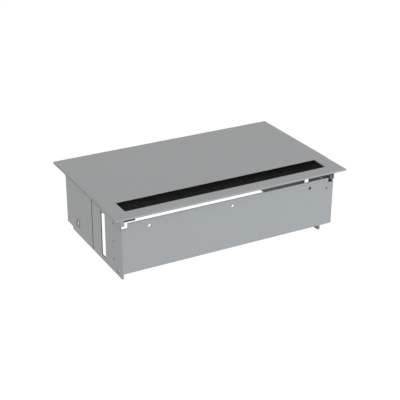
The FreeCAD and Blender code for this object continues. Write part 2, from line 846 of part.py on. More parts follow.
def make_partition():
    body = new_body("right_partition")
    plan = sketch(body, "partition_plan", "XY_Plane")
    outline(plan, [
        ("partition_place", "inner_front"),
        ("partition_end", "inner_front"),
        ("partition_end", "inner_front + partition_sheet"),
        ("partition_right", "inner_front + partition_sheet"),
        ("partition_right", "inner_rear - partition_sheet"),
        ("partition_end", "inner_rear - partition_sheet"),
        ("partition_end", "inner_rear"),
        ("partition_place", "inner_rear"),
    ])
    pad(body, plan, "partition_sheet", "shelf_top")
    for wall, inside in (("inner_front", "inner_front + partition_sheet"),
                         ("inner_rear", "inner_rear - partition_sheet")):
        round_edges(body, "outer_bend", "bend_radius + partition_sheet",
                    upright_bend("partition_place", wall))
        round_edges(body, "inner_bend", "bend_radius", upright_bend("partition_right", inside))
    ends = sketch(body, "flange_trim_outline", "XZ_Plane")
    for low, high in (("-overshoot", "partition_flange_trim"),
                      ("shelf_top - partition_flange_trim", "total_height")):
        rectangle(ends, "partition_right + overshoot", "partition_end + overshoot", low, high)
    pocket(body, ends, "flange_trims", symmetric=True)
    window = sketch(body, "partition_slot_outline", "YZ_Plane")
    rectangle(window, "front_edge + partition_slot_setback",
              "front_edge + partition_slot_setback + clamp_slot_width",
              "clamp_slot_foot", "total_height - clamp_slot_top")
    pocket(body, window, "partition_slot", symmetric=True)
    for name, count, front in (("front_flange_holes", FRONT_PARTITION_RIVETS, True),
                               ("rear_flange_holes", REAR_PARTITION_RIVETS, False)):
        holes = sketch(body, f"{name}_outline", "XZ_Plane")
        for index in range(count):
            circle(holes, "partition_right + partition_rivet_reach",
                   f"total_height - partition_rivet_drop - {index} * partition_rivet_pitch",
                   "rivet_diameter + 2 * rivet_clearance")
        pocket(body, holes, name, reverse=front)

    rivets = []
    x = "partition_right + partition_rivet_reach"
    for outer, start, count in (
            ("body_front - rivet_head_height", "body_front", FRONT_PARTITION_RIVETS),
            ("body_rear", "inner_rear - partition_sheet", REAR_PARTITION_RIVETS)):
        for index in range(count):
            height = f"total_height - partition_rivet_drop - {index} * partition_rivet_pitch"
            head = cylinder("partition_rivet_head", "rivet_head", "rivet_head_height", x, outer, height, "y")
            shank = cylinder("partition_rivet_shank", "rivet_diameter", "sheet + partition_sheet",
                             x, start, height, "y")
            rivets.append(fuse("partition_rivet", head, shank))
    group("partition_rivets", rivets)


# Socket carrier and what it holds

def make_carrier():
    body = new_body("socket_carrier")
    end = sketch(body, "carrier_section", "YZ_Plane", "-carrier_left")
    outline(end, [
        ("face_front", "face_bottom"),
        ("face_front + return_depth", "face_bottom"),
        ("face_front + return_depth", "return_top"),
        ("face_rear", "return_top"),
        ("face_rear", "shelf_bottom"),
        ("inner_rear - carrier_sheet", "shelf_bottom"),
        ("inner_rear - carrier_sheet", "shelf_top - carrier_flange"),
        ("inner_rear", "shelf_top - carrier_flange"),
        ("inner_rear", "shelf_top"),
        ("face_front", "shelf_top"),
    ])
    pad(body, end, "carrier_sheet", "partition_place + carrier_left")
    for depth, height in (("face_front", "face_bottom"), ("face_front", "shelf_top"),
                          ("inner_rear", "shelf_top")):
        round_edges(body, "outer_bend", "bend_radius + carrier_sheet", cross_bend(depth, height))
    for depth, height in (("face_rear", "return_top"), ("face_rear", "shelf_bottom"),
                          ("inner_rear - carrier_sheet", "shelf_bottom")):
        round_edges(body, "inner_bend", "bend_radius", cross_bend(depth, height))
    window = sketch(body, "module_window", "XZ_Plane", "face_front - overshoot")
    half = "module_body / 2 + module_clearance"
    rectangle(window, f"first_module - ({half})", f"first_module + {half}",
              f"module_z - ({half})", f"module_z + {half}")
    first = pocket(body, window, "module_opening", "carrier_sheet + 2 * overshoot")
    row_pattern(body, "module_openings", [first], "module_pitch", MODULES)
    holes = sketch(body, "carrier_hole_outline", "XZ_Plane", "inner_rear - carrier_sheet - overshoot")
    for side in LEFT_MIDDLE_RIGHT:
        circle(holes, f"carrier_centre + {side} * carrier_screw_pitch", "carrier_screw_z",
               "screw_diameter + 2 * screw_clearance")
    pocket(body, holes, "carrier_holes")

    screws = []
    nuts = []
    for side in LEFT_MIDDLE_RIGHT:
        x = f"carrier_centre + {side} * carrier_screw_pitch"
        head = cylinder("screw_head", "screw_head", "screw_head_height",
                        x, "body_rear", "carrier_screw_z", "y")
        end = "inner_rear - carrier_sheet - nut_height"
        shank = cylinder("screw_shank", "screw_diameter", "sheet + carrier_sheet + nut_height",
                         x, end, "carrier_screw_z", "y")
        screws.append(fuse("carrier_screw", head, shank))
        nuts.append(hexagon_nut("carrier_nut", "nut_width", "nut_height",
                                "screw_diameter + 2 * screw_clearance", x, end, "carrier_screw_z"))
    group("carrier_screws", screws)
    group("carrier_nuts", nuts)


def hexagon_nut(name, width, height, bore, x, y, z):
    """Hexagon nut whose axis runs along Y, with its width measured across flats."""
    prism = doc.addObject("Part::Prism", f"{name}_prism")
    bind(prism, "Circumradius", f"{width} / sqrt(3)")
    bind(prism, "Height", height)
    prism.Placement = FreeCAD.Placement(
        FreeCAD.Vector(), FreeCAD.Rotation(FreeCAD.Vector(-1, 0, 0), 90))
    place(prism, x, y, z)
    return cut(name, prism, cylinder(f"{name}_bore", bore, height, x, y, z, "y"))


def module_block(label, x):
    """Square bezel in front of the carrier and the moulded body behind it, placed by its face centre."""
    body = new_body(label)
    front = sketch(body, "bezel_outline", "XZ_Plane")
    rectangle(front, "-module_face / 2", "module_face / 2", "-module_face / 2", "module_face / 2")
    pad(body, front, "bezel_plate", "bezel")
    half = number("module_face / 2")
    face = number("-bezel")

    def bezel_corner(start, end):
        along = near(start.x, end.x) and near(start.z, end.z)
        return along and near(abs(start.x), half) and near(abs(start.z), half)

    def bezel_rim(start, end):
        return near(start.y, face) and near(end.y, face)
    round_edges(body, "bezel_corners", "bezel_corner", bezel_corner)
    round_edges(body, "bezel_edge", "bezel_rounding", bezel_rim)
    back = sketch(body, "module_outline", "XZ_Plane")
    rectangle(back, "-module_body / 2", "module_body / 2", "-module_body / 2", "module_body / 2")
    pad(body, back, "module_back", "module_depth", reverse=True)
    place(body, x, "face_front", "module_z")
    return body


def bevel_mouths(body):
    """Lead-in bevels where the contact holes meet the recess floor."""
    floor = number("-bezel + recess_depth")
    radius = number("contact_hole / 2")
    base = body.Tip
    names = []
    for index, edge in enumerate(base.Shape.Edges, start=1):
        if edge.Curve.TypeId == "Part::GeomCircle" and near(edge.Curve.Radius, radius):
            if near(edge.Curve.Center.y, floor):
                names.append(f"Edge{index}")
    item = body.newObject("PartDesign::Chamfer", "contact_mouths")
    item.Base = (base, names)
    bind(item, "Size", "contact_mouth")
    doc.recompute()


def make_power_sockets():
    sleeves = []
    clips = []
    floor = "face_front - bezel + recess_depth"
    for index in range(POWER_SOCKETS):
        x = f"first_module + {index} * module_pitch"
        body = module_block(f"power_socket_{index + 1}", x)
        recess = sketch(body, "recess_outline", "XZ_Plane", "-bezel")
        circle(recess, "0", "0", "recess_diameter")
        pocket(body, recess, "recess", "recess_depth")
        channel = sketch(body, "clip_channel_outline", "XZ_Plane", "-bezel")
        rectangle(channel, "-clip_width / 2 - clip_side_gap", "clip_width / 2 + clip_side_gap",
                  "-recess_diameter / 2 - clip_channel", "recess_diameter / 2 + clip_channel")
        pocket(body, channel, "clip_channels", "recess_depth")
        holes = sketch(body, "contact_hole_outline", "XZ_Plane", "-bezel + recess_depth")
        for side in LEFT_RIGHT:
            circle(holes, f"{side} * contact_pitch / 2", "0", "contact_hole")
        pocket(body, holes, "contact_holes", "contact_depth")
        ribs = sketch(body, "guide_rib_outline", "XZ_Plane", "-bezel + recess_depth")
        for side in LEFT_RIGHT:
            rectangle(ribs, f"{side} * (recess_diameter / 2 - guide_rib_reach)",
                      f"{side} * (recess_diameter / 2 + guide_rib_reach / 2)",
                      "-guide_rib_width / 2", "guide_rib_width / 2")
        pad(body, ribs, "guide_ribs", "recess_depth - guide_rib_setback")
        bevel_mouths(body)

        for side in LEFT_RIGHT:
            spot = (f"{x} + {side} * contact_pitch / 2", f"{floor} + sleeve_sink", "module_z")
            length = "contact_depth - sleeve_sink"
            tube = cylinder("sleeve_outside", "sleeve_diameter", length, *spot, "y")
            bore = cylinder("sleeve_inside", "sleeve_bore", length, *spot, "y")
            sleeves.append(cut("contact_sleeve", tube, bore))
            seat = "recess_diameter / 2 + clip_channel"
            low = f"module_z + {seat} - clip_sheet" if side == "1" else f"module_z - ({seat})"
            strip = block("clip_strip", "clip_width", "recess_depth", "clip_sheet",
                          f"{x} - clip_width / 2", "face_front - bezel", low)
            middle = f"module_z + {side} * ({seat} - clip_sheet)"
            bump = cylinder("clip_bump", "2 * clip_bump", "clip_width",
                            f"{x} - clip_width / 2", "face_front - bezel + recess_depth / 2", middle, "x")
            keep = block("clip_bump_room", "clip_width", "recess_depth", "clip_bump",
                         f"{x} - clip_width / 2", "face_front - bezel",
                         f"{middle} - clip_bump" if side == "1" else middle)
            half_bump = doc.addObject("Part::Common", "clip_half_bump")
            half_bump.Base = bump
            half_bump.Tool = keep
            clips.append(fuse("earth_clip", strip, half_bump))
    group("contact_sleeves", sleeves)
    group("earth_clips", clips)


def make_data_module():
    body = module_block("data_module", "data_place")
    frame = sketch(body, "port_frame_outline", "XZ_Plane", "-bezel")
    rectangle(frame, "-port_frame_width / 2", "port_frame_width / 2",
              "-port_drop - port_frame_height / 2", "-port_drop + port_frame_height / 2")
    pad(body, frame, "port_frame", "port_frame_proud")
    ports = sketch(body, "port_outline", "XZ_Plane", "-bezel - port_frame_proud")
    for side in LEFT_RIGHT:
        middle = f"{side} * port_pitch / 2"
        rectangle(ports, f"{middle} - port_width / 2", f"{middle} + port_width / 2",
                  "-port_drop - port_height / 2", "-port_drop + port_height / 2")
    pocket(body, ports, "ports", "port_depth")
    lugs = sketch(body, "lug_outline", "XY_Plane", "flap_axis_rise - lug_size / 2")
    for middle in ("-port_pitch", "0", "port_pitch"):
        rectangle(lugs, f"{middle} - lug_width / 2", f"{middle} + lug_width / 2",
                  "flap_axis_y - lug_size / 2", "-bezel")
    pad(body, lugs, "lugs", "lug_size")
    bore = sketch(body, "flap_bore_outline", "YZ_Plane")
    circle(bore, "flap_axis_y", "flap_axis_rise", "flap_pin_diameter + 2 * pin_clearance")
    pocket(body, bore, "flap_bore", symmetric=True)

    pin = cylinder("flap_pin", "flap_pin_diameter", "2 * port_pitch + lug_width",
                   "data_place - port_pitch - lug_width / 2", "face_front + flap_axis_y",
                   "module_z + flap_axis_rise", "x")
    node(pin, "flap_pin")

    for label, side in (("left_dust_flap", "-1"), ("right_dust_flap", "1")):
        flap = new_body(label)
        width = "port_pitch - lug_width - 2 * flap_side_gap"
        barrel = sketch(flap, "barrel_outline", "YZ_Plane")
        circle(barrel, "0", "0", "flap_barrel")
        pad(flap, barrel, "flap_barrel", width, symmetric=True)
        leaf = sketch(flap, "leaf_outline", "YZ_Plane")
        rectangle(leaf, "-flap_barrel / 2", "-flap_barrel / 2 + flap_sheet", "-flap_height", "0")
        pad(flap, leaf, "flap_leaf", width, symmetric=True)
        hole = sketch(flap, "flap_hole_outline", "YZ_Plane")
        circle(hole, "0", "0", "flap_pin_diameter + 2 * pin_clearance")
        pocket(flap, hole, "flap_hole", symmetric=True)
        place(flap, f"data_place + {side} * port_pitch / 2", "face_front + flap_axis_y",
              "module_z + flap_axis_rise")


def make_wiring():
    body = new_body("wiring_box")
    plan = sketch(body, "box_outline", "XY_Plane", "return_top")
    rectangle(plan, "box_left", "box_right", "box_front", "box_rear")
    pad(body, plan, "box_block", "shelf_bottom - return_top")
    inside = sketch(body, "box_inside", "XY_Plane", "return_top + box_wall")
    rectangle(inside, "box_left + box_wall", "box_right - box_wall", "box_front - box_wall",
              "box_rear - box_wall")
    pocket(body, inside, "box_hollow", reverse=True)
    opening = sketch(body, "inlet_opening", "XY_Plane")
    half_long = "(inlet_length / 2 + inlet_fit)"
    half_wide = "(inlet_width / 2 + inlet_fit)"
    rectangle(opening, f"inlet_place - {half_long}", f"inlet_place + {half_long}",
              f"inlet_y - {half_wide}", f"inlet_y + {half_wide}")
    pocket(body, opening, "inlet_cut", reverse=True)

    for label, step in (("live_bar", "-1"), ("earth_bar", "0"), ("neutral_bar", "1")):
        bar = block(label, "bar_length", "bar_sheet", "bar_width", "carrier_centre - bar_length / 2",
                    "module_back", f"module_z + {step} * bar_pitch - bar_width / 2")
        node(bar, label)

    inlet = new_body("mains_inlet")
    rim = sketch(inlet, "inlet_rim_outline", "XY_Plane", "return_top")
    rectangle(rim, "-inlet_length / 2 - inlet_rim", "inlet_length / 2 + inlet_rim",
              "-inlet_width / 2 - inlet_rim", "inlet_width / 2 + inlet_rim")
    pad(inlet, rim, "inlet_rim", "inlet_rim_sheet", reverse=True)
    block_plan = sketch(inlet, "inlet_outline", "XY_Plane", "return_top")
    rectangle(block_plan, "-inlet_length / 2", "inlet_length / 2", "-inlet_width / 2", "inlet_width / 2")
    pad(inlet, block_plan, "inlet_block", "inlet_height")
    mouth = sketch(inlet, "inlet_mouth", "XY_Plane", "return_top - inlet_rim_sheet")
    rectangle(mouth, "-inlet_length / 2 + inlet_wall", "inlet_length / 2 - inlet_wall",
              "-inlet_width / 2 + inlet_wall", "inlet_width / 2 - inlet_wall")
    pocket(inlet, mouth, "inlet_mouth_cut", "inlet_recess", reverse=True)
    place(inlet, "inlet_place", "inlet_y", "0")
    pins = []
    for step in LEFT_MIDDLE_RIGHT:
        pins.append(block("inlet_pin", "inlet_pin_sheet", "inlet_pin_width", "inlet_pin_length",
                          f"inlet_place + {step} * inlet_pin_pitch - inlet_pin_sheet / 2",
                          "inlet_y - inlet_pin_width / 2",
                          "return_top - inlet_rim_sheet + inlet_recess - inlet_pin_length"))
    group("inlet_pins", pins)


def make_earth_stud():
    node(cylinder("earth_stud", "stud_diameter", "stud_length", "-stud_place",
                  "inner_rear - stud_length", "stud_z", "y"), "earth_stud")
    bore = "stud_diameter + 2 * screw_clearance"
    spot = ("-stud_place", "inner_rear - washer_sheet", "stud_z")
    washer = cut("earth_washer", cylinder("washer_disc", "washer_diameter", "washer_sheet", *spot, "y"),
                 cylinder("washer_bore", bore, "washer_sheet", *spot, "y"))
    node(washer, "earth_washer")
    node(hexagon_nut("earth_nut", "stud_nut_width", "stud_nut_height", bore, "-stud_place",
                     "inner_rear - washer_sheet - stud_nut_height", "stud_z"), "earth_nut")


make_top_frame()
make_corner_tabs()
make_front_trim()
make_lid()
make_hinge_pin()
make_lid_bumpers()
make_brush()
make_front_shell()
make_rear_shell()
make_grommet()
make_posts()
make_partition()
make_carrier()
make_power_sockets()
make_data_module()
make_wiring()
make_earth_stud()
doc.recompute()

for item in doc.Objects:
    if "Invalid" in item.State or "Error" in item.State:
        raise RuntimeError(f"{item.Label} failed: {item.State}")
for item in nodes:
    if item.Shape.isNull() or not item.Shape.isValid():
        raise RuntimeError(f"{item.Label} has no valid shape")

os.makedirs("parts", exist_ok=True)
for item in nodes:
    item.Shape.exportStep(os.path.join("parts", f"{item.Label}.step"))
print(f"{len(nodes)} sub-parts written")
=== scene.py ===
import math

import bmesh
import bpy
import numpy as np
from bpy.props import FloatProperty, FloatVectorProperty, IntProperty, PointerProperty
from mathutils import Matrix, Vector


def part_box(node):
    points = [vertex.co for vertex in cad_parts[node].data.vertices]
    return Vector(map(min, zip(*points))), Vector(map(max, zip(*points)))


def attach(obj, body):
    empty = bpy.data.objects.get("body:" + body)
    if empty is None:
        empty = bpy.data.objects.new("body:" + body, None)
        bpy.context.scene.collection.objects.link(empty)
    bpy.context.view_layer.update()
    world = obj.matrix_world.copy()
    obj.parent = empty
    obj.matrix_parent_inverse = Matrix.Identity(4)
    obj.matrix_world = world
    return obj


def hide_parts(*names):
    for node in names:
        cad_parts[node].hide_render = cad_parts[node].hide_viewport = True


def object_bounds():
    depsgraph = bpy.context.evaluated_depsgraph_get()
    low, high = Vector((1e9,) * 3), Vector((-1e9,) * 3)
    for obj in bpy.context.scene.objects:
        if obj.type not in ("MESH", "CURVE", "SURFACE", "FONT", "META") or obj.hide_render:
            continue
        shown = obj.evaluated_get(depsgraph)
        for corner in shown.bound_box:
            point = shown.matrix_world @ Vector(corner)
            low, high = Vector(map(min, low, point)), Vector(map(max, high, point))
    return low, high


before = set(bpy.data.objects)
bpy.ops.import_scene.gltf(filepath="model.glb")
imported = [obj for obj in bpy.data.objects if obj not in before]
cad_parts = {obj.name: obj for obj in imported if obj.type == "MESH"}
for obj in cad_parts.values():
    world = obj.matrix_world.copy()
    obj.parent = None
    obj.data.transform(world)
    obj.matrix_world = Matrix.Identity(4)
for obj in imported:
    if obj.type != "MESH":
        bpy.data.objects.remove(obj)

bl_info = {
    "name": "Desk socket unit",
    "version": (1, 0, 0),
    "blender": (4, 5, 0),
    "location": "3D View > Sidebar > Desk Unit",
    "description": "Finishes and fine pieces for a built-in desk socket unit",
    "category": "Object",
}

CAD_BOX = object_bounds()
MM = 0.001
UP = (0, 0, 1)
FRAME_PIXELS = 400
WELD_GAP = 1e-7
LEAST_EDGE = 1e-8
SHARP_ANGLE = math.radians(42)
FINE_RELIEF = 0.02 * MM
COLOUR, VALUE, VECTOR = "NodeSocketColor", "NodeSocketFloat", "NodeSocketVector"

# Thickness of the shells' sheet, and how far their bends reach
SHEET = 1.5 * MM
BEND = 2.5 * MM
SHEET_NODES = ("top_frame", "corner_tabs", "front_trim", "lid", "socket_carrier",
               "left_front_post", "left_seam_post", "left_rear_post",
               "right_front_post", "right_seam_post", "right_rear_post")
SOCKET_NODES = ("power_socket_1", "power_socket_2", "power_socket_3", "power_socket_4", "data_module")
FLAP_NODES = ("left_dust_flap", "right_dust_flap")
BOX_NODES = ("wiring_box", "mains_inlet", "brush_end_blocks")
BRASS_NODES = ("contact_sleeves", "earth_clips", "live_bar", "earth_bar", "neutral_bar", "inlet_pins")
PIN_NODES = ("hinge_pin", "flap_pin")


# Sizes and colours that a user would change

def colour_setting(name, description, default):
    """Setting for a colour in linear red, green and blue."""
    return FloatVectorProperty(name=name, description=description, default=default,
                               subtype="COLOR", size=3, min=0.0, max=1.0)


def length_setting(name, description, default):
    """Setting for a length in metres."""
    return FloatProperty(name=name, description=description, default=default,
                         unit="LENGTH", min=0.0, precision=5)


def share_setting(name, description, default):
    """Setting for a share between none and all."""
    return FloatProperty(name=name, description=description, default=default,
                         subtype="FACTOR", min=0.0, max=1.0)


def angle_setting(name, description, degrees):
    """Setting for an angle, given in degrees and kept in radians."""
    return FloatProperty(name=name, description=description, default=math.radians(degrees),
                         subtype="ANGLE")


def power_setting(name, description, default):
    """Setting for a lamp's power in watts."""
    return FloatProperty(name=name, description=description, default=default,
                         unit="POWER", min=0.0)


class DeskUnitCoat(bpy.types.PropertyGroup):
    """Powder coat of the sheet steel pieces."""
    colour: colour_setting("Coat colour", "Light grey of the powder coat", (0.353, 0.353, 0.3545))
    # Painted shade: the inner partition's coat is darkened to this share of the outer coat's brightness
    inner: share_setting("Inner shade", "Brightness of the inner partition's coat against the rest", 0.6)
    # Painted shade: dark colour on the shells' cut edges and hole walls
    edge_shade: colour_setting("Cut edge", "Dark painted shade on the shells' cut edges", (0.06, 0.06, 0.062))
    roughness: share_setting("Coat roughness", "Satin of the powder coat", 0.46)
    mottle: share_setting("Mottle", "Slow change of brightness over the sheet", 0.035)
    speck: share_setting("Speck", "Fine change of brightness between powder grains", 0.07)
    peel: length_setting("Orange peel", "Height of the coat's fine waves", 0.05 * MM)


class DeskUnitBrush(bpy.types.PropertyGroup):
    """Filaments of the brush strip."""
    colour: colour_setting("Filament colour", "Black nylon", (0.011, 0.011, 0.0114))
    across: IntProperty(name="Filaments in a row", description="Filaments along the strip",
                        default=920, min=10)
    rows: IntProperty(name="Rows", description="Rows of filaments above each other",
                      default=8, min=1)
    thickness: length_setting("Filament thickness", "Diameter of one filament at its root", 0.52 * MM)
    slit: length_setting("Slit height", "Height of the bundle in the holder's slit", 2.2 * MM)
    fan: length_setting("Fan length", "Way behind the holder to the bundle's full height", 9.0 * MM)
    lean: length_setting("Lean", "How far a tip may lie to one side of its root", 1.0 * MM)
    ragged: length_setting("Ragged tips", "How much shorter a filament may be", 0.7 * MM)
    splay: length_setting("Splay", "How far the lowest filaments lean out at the strip's ends", 3.0 * MM)
    overlap: length_setting("Overlap", "How far the lowest filaments reach under the lid", 10.0 * MM)
    # Painted sheen: how much paler the filaments' colour is made towards their roots
    root_sheen: FloatProperty(name="Dust", description="How much paler the filaments are at their roots",
                        default=2.6, min=0.0)


class DeskUnitMetals(bpy.types.PropertyGroup):
    """Bare and plated metals."""
    zinc: colour_setting("Zinc plating", "Pale plating on screws, nuts and pins", (0.56, 0.565, 0.57))
    brass: colour_setting("Contact brass", "Brass of sleeves, clips and bars", (0.62, 0.45, 0.17))
    aluminium: colour_setting("Brush holder", "Extruded aluminium", (0.6, 0.605, 0.61))
    rivet: colour_setting("Rivet steel", "Dull steel of the rivets", (0.24, 0.242, 0.246))
    gold: colour_setting("Gold flash", "Gold on the data ports' spring wires", (0.75, 0.56, 0.22))
    thread_pitch: length_setting("Thread pitch", "Pitch of the carrier screws' threads", 0.7 * MM)


class DeskUnitPlastics(bpy.types.PropertyGroup):
    """Moulded plastic and rubber."""
    socket: colour_setting("Socket plastic", "Dark grey of the socket inserts", (0.032, 0.033, 0.035))
    flap: colour_setting("Flap plastic", "Dust flaps of the data ports", (0.05, 0.051, 0.054))
    box: colour_setting("Box plastic", "Black of the box, inlet and end blocks", (0.014, 0.014, 0.015))
    rubber: colour_setting("Pad rubber", "Black of the lid pads", (0.016, 0.016, 0.016))
    grommet: colour_setting("Grommet rubber", "Grey of the cable grommet", (0.335, 0.336, 0.338))


class DeskUnitStage(bpy.types.PropertyGroup):
    """Camera and light of the studio."""
    azimuth: angle_setting("Azimuth", "Camera's turn round the unit", -28.83)
    elevation: angle_setting("Elevation", "Camera's height angle", 24.92)
    roll: angle_setting("Roll", "Camera's turn about its own axis", 0.35)
    distance: length_setting("Distance", "From the camera to its target", 1.57426)
    target: FloatVectorProperty(name="Target", description="Point that the camera looks at",
                                default=(-0.02614, -0.0521, 0.0715), subtype="XYZ", size=3)
    focal: FloatProperty(name="Focal length in pixels", default=1010.28, min=1.0,
                         description="At the photograph's width of 400 pixels")
    floor_drop: length_setting("Floor drop", "From the unit, which hangs by its flange, to the floor", 1.1)
    floor_grey: share_setting("Floor", "How much light the floor sends back up", 0.28)
    ambient: FloatProperty(name="Ambient", description="Strength of the even studio light",
                           default=0.605, min=0.0)
    key: power_setting("Key light", "Power of the large lamp in front", 42.5)
    key_colour: colour_setting("Key colour", "Slightly cool light from the front", (0.85, 0.94, 1.0))
    side: power_setting("Side light", "Power of the large lamp at the left", 16.0)
    side_colour: colour_setting("Side colour", "Slightly cool light from the left", (0.93, 0.97, 1.0))


# Meshes from whole arrays

def ring_quads(rings, columns):
    """Corner numbers of the quads between rings of points that are numbered ring by ring."""
    ring, column = np.meshgrid(np.arange(rings - 1), np.arange(columns), indexing="ij")
    beside = (column + 1) % columns
    corners = (ring * columns + column, ring * columns + beside,
               (ring + 1) * columns + beside, (ring + 1) * columns + column)
    return np.stack(corners, -1).reshape(-1, 4)


def repeated(points, faces, count):
    """Faces of count copies of a shape whose copies' points follow each other."""
    step = np.arange(count)[:, None, None] * points
    return (faces[None] + step).reshape(-1, faces.shape[1])


def solid_piece(name, points, *faces, weld=True):
    """Object at the origin from an array of points and one or more arrays of faces, each with its own
    number of corners; its poles are closed and its faces turned outwards."""
    corners = np.concatenate([part.ravel() for part in faces])
    sizes = np.concatenate([np.full(len(part), part.shape[1]) for part in faces])
    mesh = bpy.data.meshes.new(name)
    mesh.vertices.add(len(points))
    mesh.vertices.foreach_set("co", np.ascontiguousarray(points, np.float32).ravel())
    mesh.loops.add(len(corners))
    mesh.loops.foreach_set("vertex_index", corners.astype(np.int32))
    mesh.polygons.add(len(sizes))
    mesh.polygons.foreach_set("loop_start", (np.cumsum(sizes) - sizes).astype(np.int32))
    mesh.update(calc_edges=True)
    work = bmesh.new()
    work.from_mesh(mesh)
    if weld:
        bmesh.ops.remove_doubles(work, verts=work.verts, dist=WELD_GAP)
        bmesh.ops.dissolve_degenerate(work, edges=work.edges, dist=LEAST_EDGE)
    bmesh.ops.recalc_face_normals(work, faces=work.faces)
    work.to_mesh(mesh)
    work.free()
    mesh.polygons.foreach_set("use_smooth", np.ones(len(mesh.polygons), bool))
    mesh.set_sharp_from_angle(angle=SHARP_ANGLE)
    item = bpy.data.objects.new(name, mesh)
    bpy.context.scene.collection.objects.link(item)
    return item


def one_turn(columns):
    """Angles of a full turn in even steps."""
    return np.linspace(0, 2 * np.pi, columns, endpoint=False)


def carried_round(reach, height, angle):
    """Points and quads of a round shape: each ring's points lie at the distance reach from the height
    axis, at their height and at the angles of a turn."""
    rings = np.stack([reach * np.cos(angle), reach * np.sin(angle), height + 0 * angle], -1)
    return rings.reshape(-1, 3), ring_quads(len(rings), len(angle))


def turned(profile, columns):
    """Turned shape: each profile point (radius, height) is carried round the height axis."""
    return carried_round(profile[:, :1], profile[:, 1:], one_turn(columns))


def turned_ring(section, columns, passes=3):
    """Turned ring of a closed section whose corners are first cut round: each pass puts points at a
    quarter and three quarters of every side."""
    for _ in range(passes):
        after = np.roll(section, -1, axis=0)
        section = np.stack([0.75 * section + 0.25 * after,
                            0.25 * section + 0.75 * after], 1).reshape(-1, 2)
    return turned(np.vstack([section, section[:1]]), columns)


def stood(points, places, axis):
    """Copies of a shape, one after another, with its height axis laid along axis and its foot at each
    place."""
    along = np.asarray(axis, float)
    side = np.cross(np.asarray(UP, float), along)
    turn = np.stack([side, np.cross(along, side), along])
    return ((points @ turn)[None] + np.asarray(places, float)[:, None]).reshape(-1, 3)


def stood_piece(name, shape, places, axis):
    """One object from copies of a shape, which is its points and its faces."""
    points, faces = shape
    return solid_piece(name, stood(points, places, axis), repeated(len(points), faces, len(places)))


def tubes(paths, radius, sides):
    """Round tubes along many paths that stay nearly in a plane of Y and Z: each path point carries a
    ring spanned by X and by the direction square to X and to the path. Gives the points, the side quads
    and the end faces."""
    count, rings = paths.shape[:2]
    sideways = np.array([1.0, 0.0, 0.0])
    across = np.cross(np.gradient(paths, axis=1), sideways)
    across /= np.linalg.norm(across, axis=-1, keepdims=True)
    angle = one_turn(sides)[:, None]
    ring = np.cos(angle) * sideways + np.sin(angle) * across[:, :, None]
    points = paths[:, :, None] + radius[:, None, None] * ring
    ends = np.stack([np.arange(sides), (rings - 1) * sides + np.arange(sides)[::-1]])
    return (points.reshape(-1, 3), repeated(rings * sides, ring_quads(rings, sides), count),
            repeated(rings * sides, ends, count))


def box_of(node):
    """Low and high corner of a node as arrays."""
    return tuple(np.array(corner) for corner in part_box(node))


def row_along_x(node, count):
    """Middles of a node's like round solids in a row along X: the first and the last lie half a diameter
    inside the node's ends."""
    low, high = box_of(node)
    half = (high[2] - low[2]) / 2
    places = np.tile((low + high) / 2, (count, 1))
    places[:, 0] = np.linspace(low[0] + half, high[0] - half, count)
    return places


def threaded_rod(radius, depth, pitch, length, columns=28):
    """Threaded rod: the radius follows a triangle wave of the height less the turn's share of a pitch,
    and runs down to the core at both ends, which are closed."""
    rings_in_pitch, fade_in_pitches = 8, 0.8
    height = np.linspace(0, length, int(length / pitch * rings_in_pitch))[:, None]
    angle = one_turn(columns)
    wave = np.abs(2 * ((height / pitch - angle / (2 * np.pi)) % 1) - 1)
    fade = np.clip(np.minimum(height, length - height) / (fade_in_pitches * pitch), 0, 1)
    reach = radius - depth * (1 - fade * wave)
    reach = np.vstack([0 * angle, reach, 0 * angle])
    height = np.vstack([[[0.0]], height, [[length]]])
    return carried_round(reach, height, angle)


def hexagon_nut(width, height, bore, columns=72):
    """Hexagon nut: the outline's radius is half the width over the cosine of the turn from the nearest
    flat, cut by a cone at both faces, and the bore has a lead-in at both ends."""
    face_share, cone_slope, lead = 0.95, 0.47, 0.06 * width
    angle = one_turn(columns)
    hexagon = width / 2 / np.cos(angle % (np.pi / 3) - np.pi / 6)
    face = 0 * angle + face_share * width / 2
    hole = 0 * angle + bore / 2
    cone = cone_slope * (hexagon - face)
    reach = [hole, hole + lead, face, hexagon, hexagon, face, hole + lead, hole, hole]
    level = [lead, 0, 0, cone, height - cone, height, height, height - lead, lead]
    return carried_round(np.stack(reach), np.stack([part + 0 * angle for part in level]), angle)


def cross_head(radius, height, columns=64, rings=26):
    """Pan head: a rim and a dome whose height follows a superellipse of the radius, with two crossed
    grooves pressed in wherever the smaller of the two distances from the middle lines is less than a
    groove's half width."""
    rim, power = 0.4, 2.6
    groove_half, groove_slope = 0.17, 0.05
    groove_end, end_slope, groove_depth = 0.62, 0.1, 0.62
    angle = one_turn(columns)
    reach = np.concatenate([[0, 1], np.linspace(1, 0, rings)])[:, None] * radius
    dome = height * (rim + (1 - rim) * (1 - (reach / radius) ** power) ** (1 / power))
    x = np.abs(reach * np.cos(angle)) / radius
    y = np.abs(reach * np.sin(angle)) / radius
    groove = np.clip((groove_half - np.minimum(x, y)) / groove_slope, 0, 1)
    groove *= np.clip((groove_end - np.maximum(x, y)) / end_slope, 0, 1)
    level = dome - groove_depth * height * groove
    level[:2] = 0
    return carried_round(reach, level, angle)


# Materials

def add_node(tree, kind, inputs=None, **settings):
    """New node with its settings and the values of its inputs."""
    item = tree.nodes.new(kind)
    for name, value in settings.items():
        setattr(item, name, value)
    for name, value in (inputs or {}).items():
        item.inputs[name].default_value = value
    return item


def arithmetic(tree, operation, first, second=None, third=None):
    """Math node whose operands are sockets or plain numbers."""
    item = add_node(tree, "ShaderNodeMath", operation=operation)
    for index, operand in enumerate((first, second, third)):
        if operand is None:
            continue
        if isinstance(operand, (int, float)):
            item.inputs[index].default_value = operand
        else:
            tree.links.new(operand, item.inputs[index])
    return item.outputs[0]


def swing(tree, value, amount):
    """How far a noise value lies from its middle, times an amount."""
    return arithmetic(tree, "MULTIPLY", arithmetic(tree, "SUBTRACT", value, 0.5), amount)


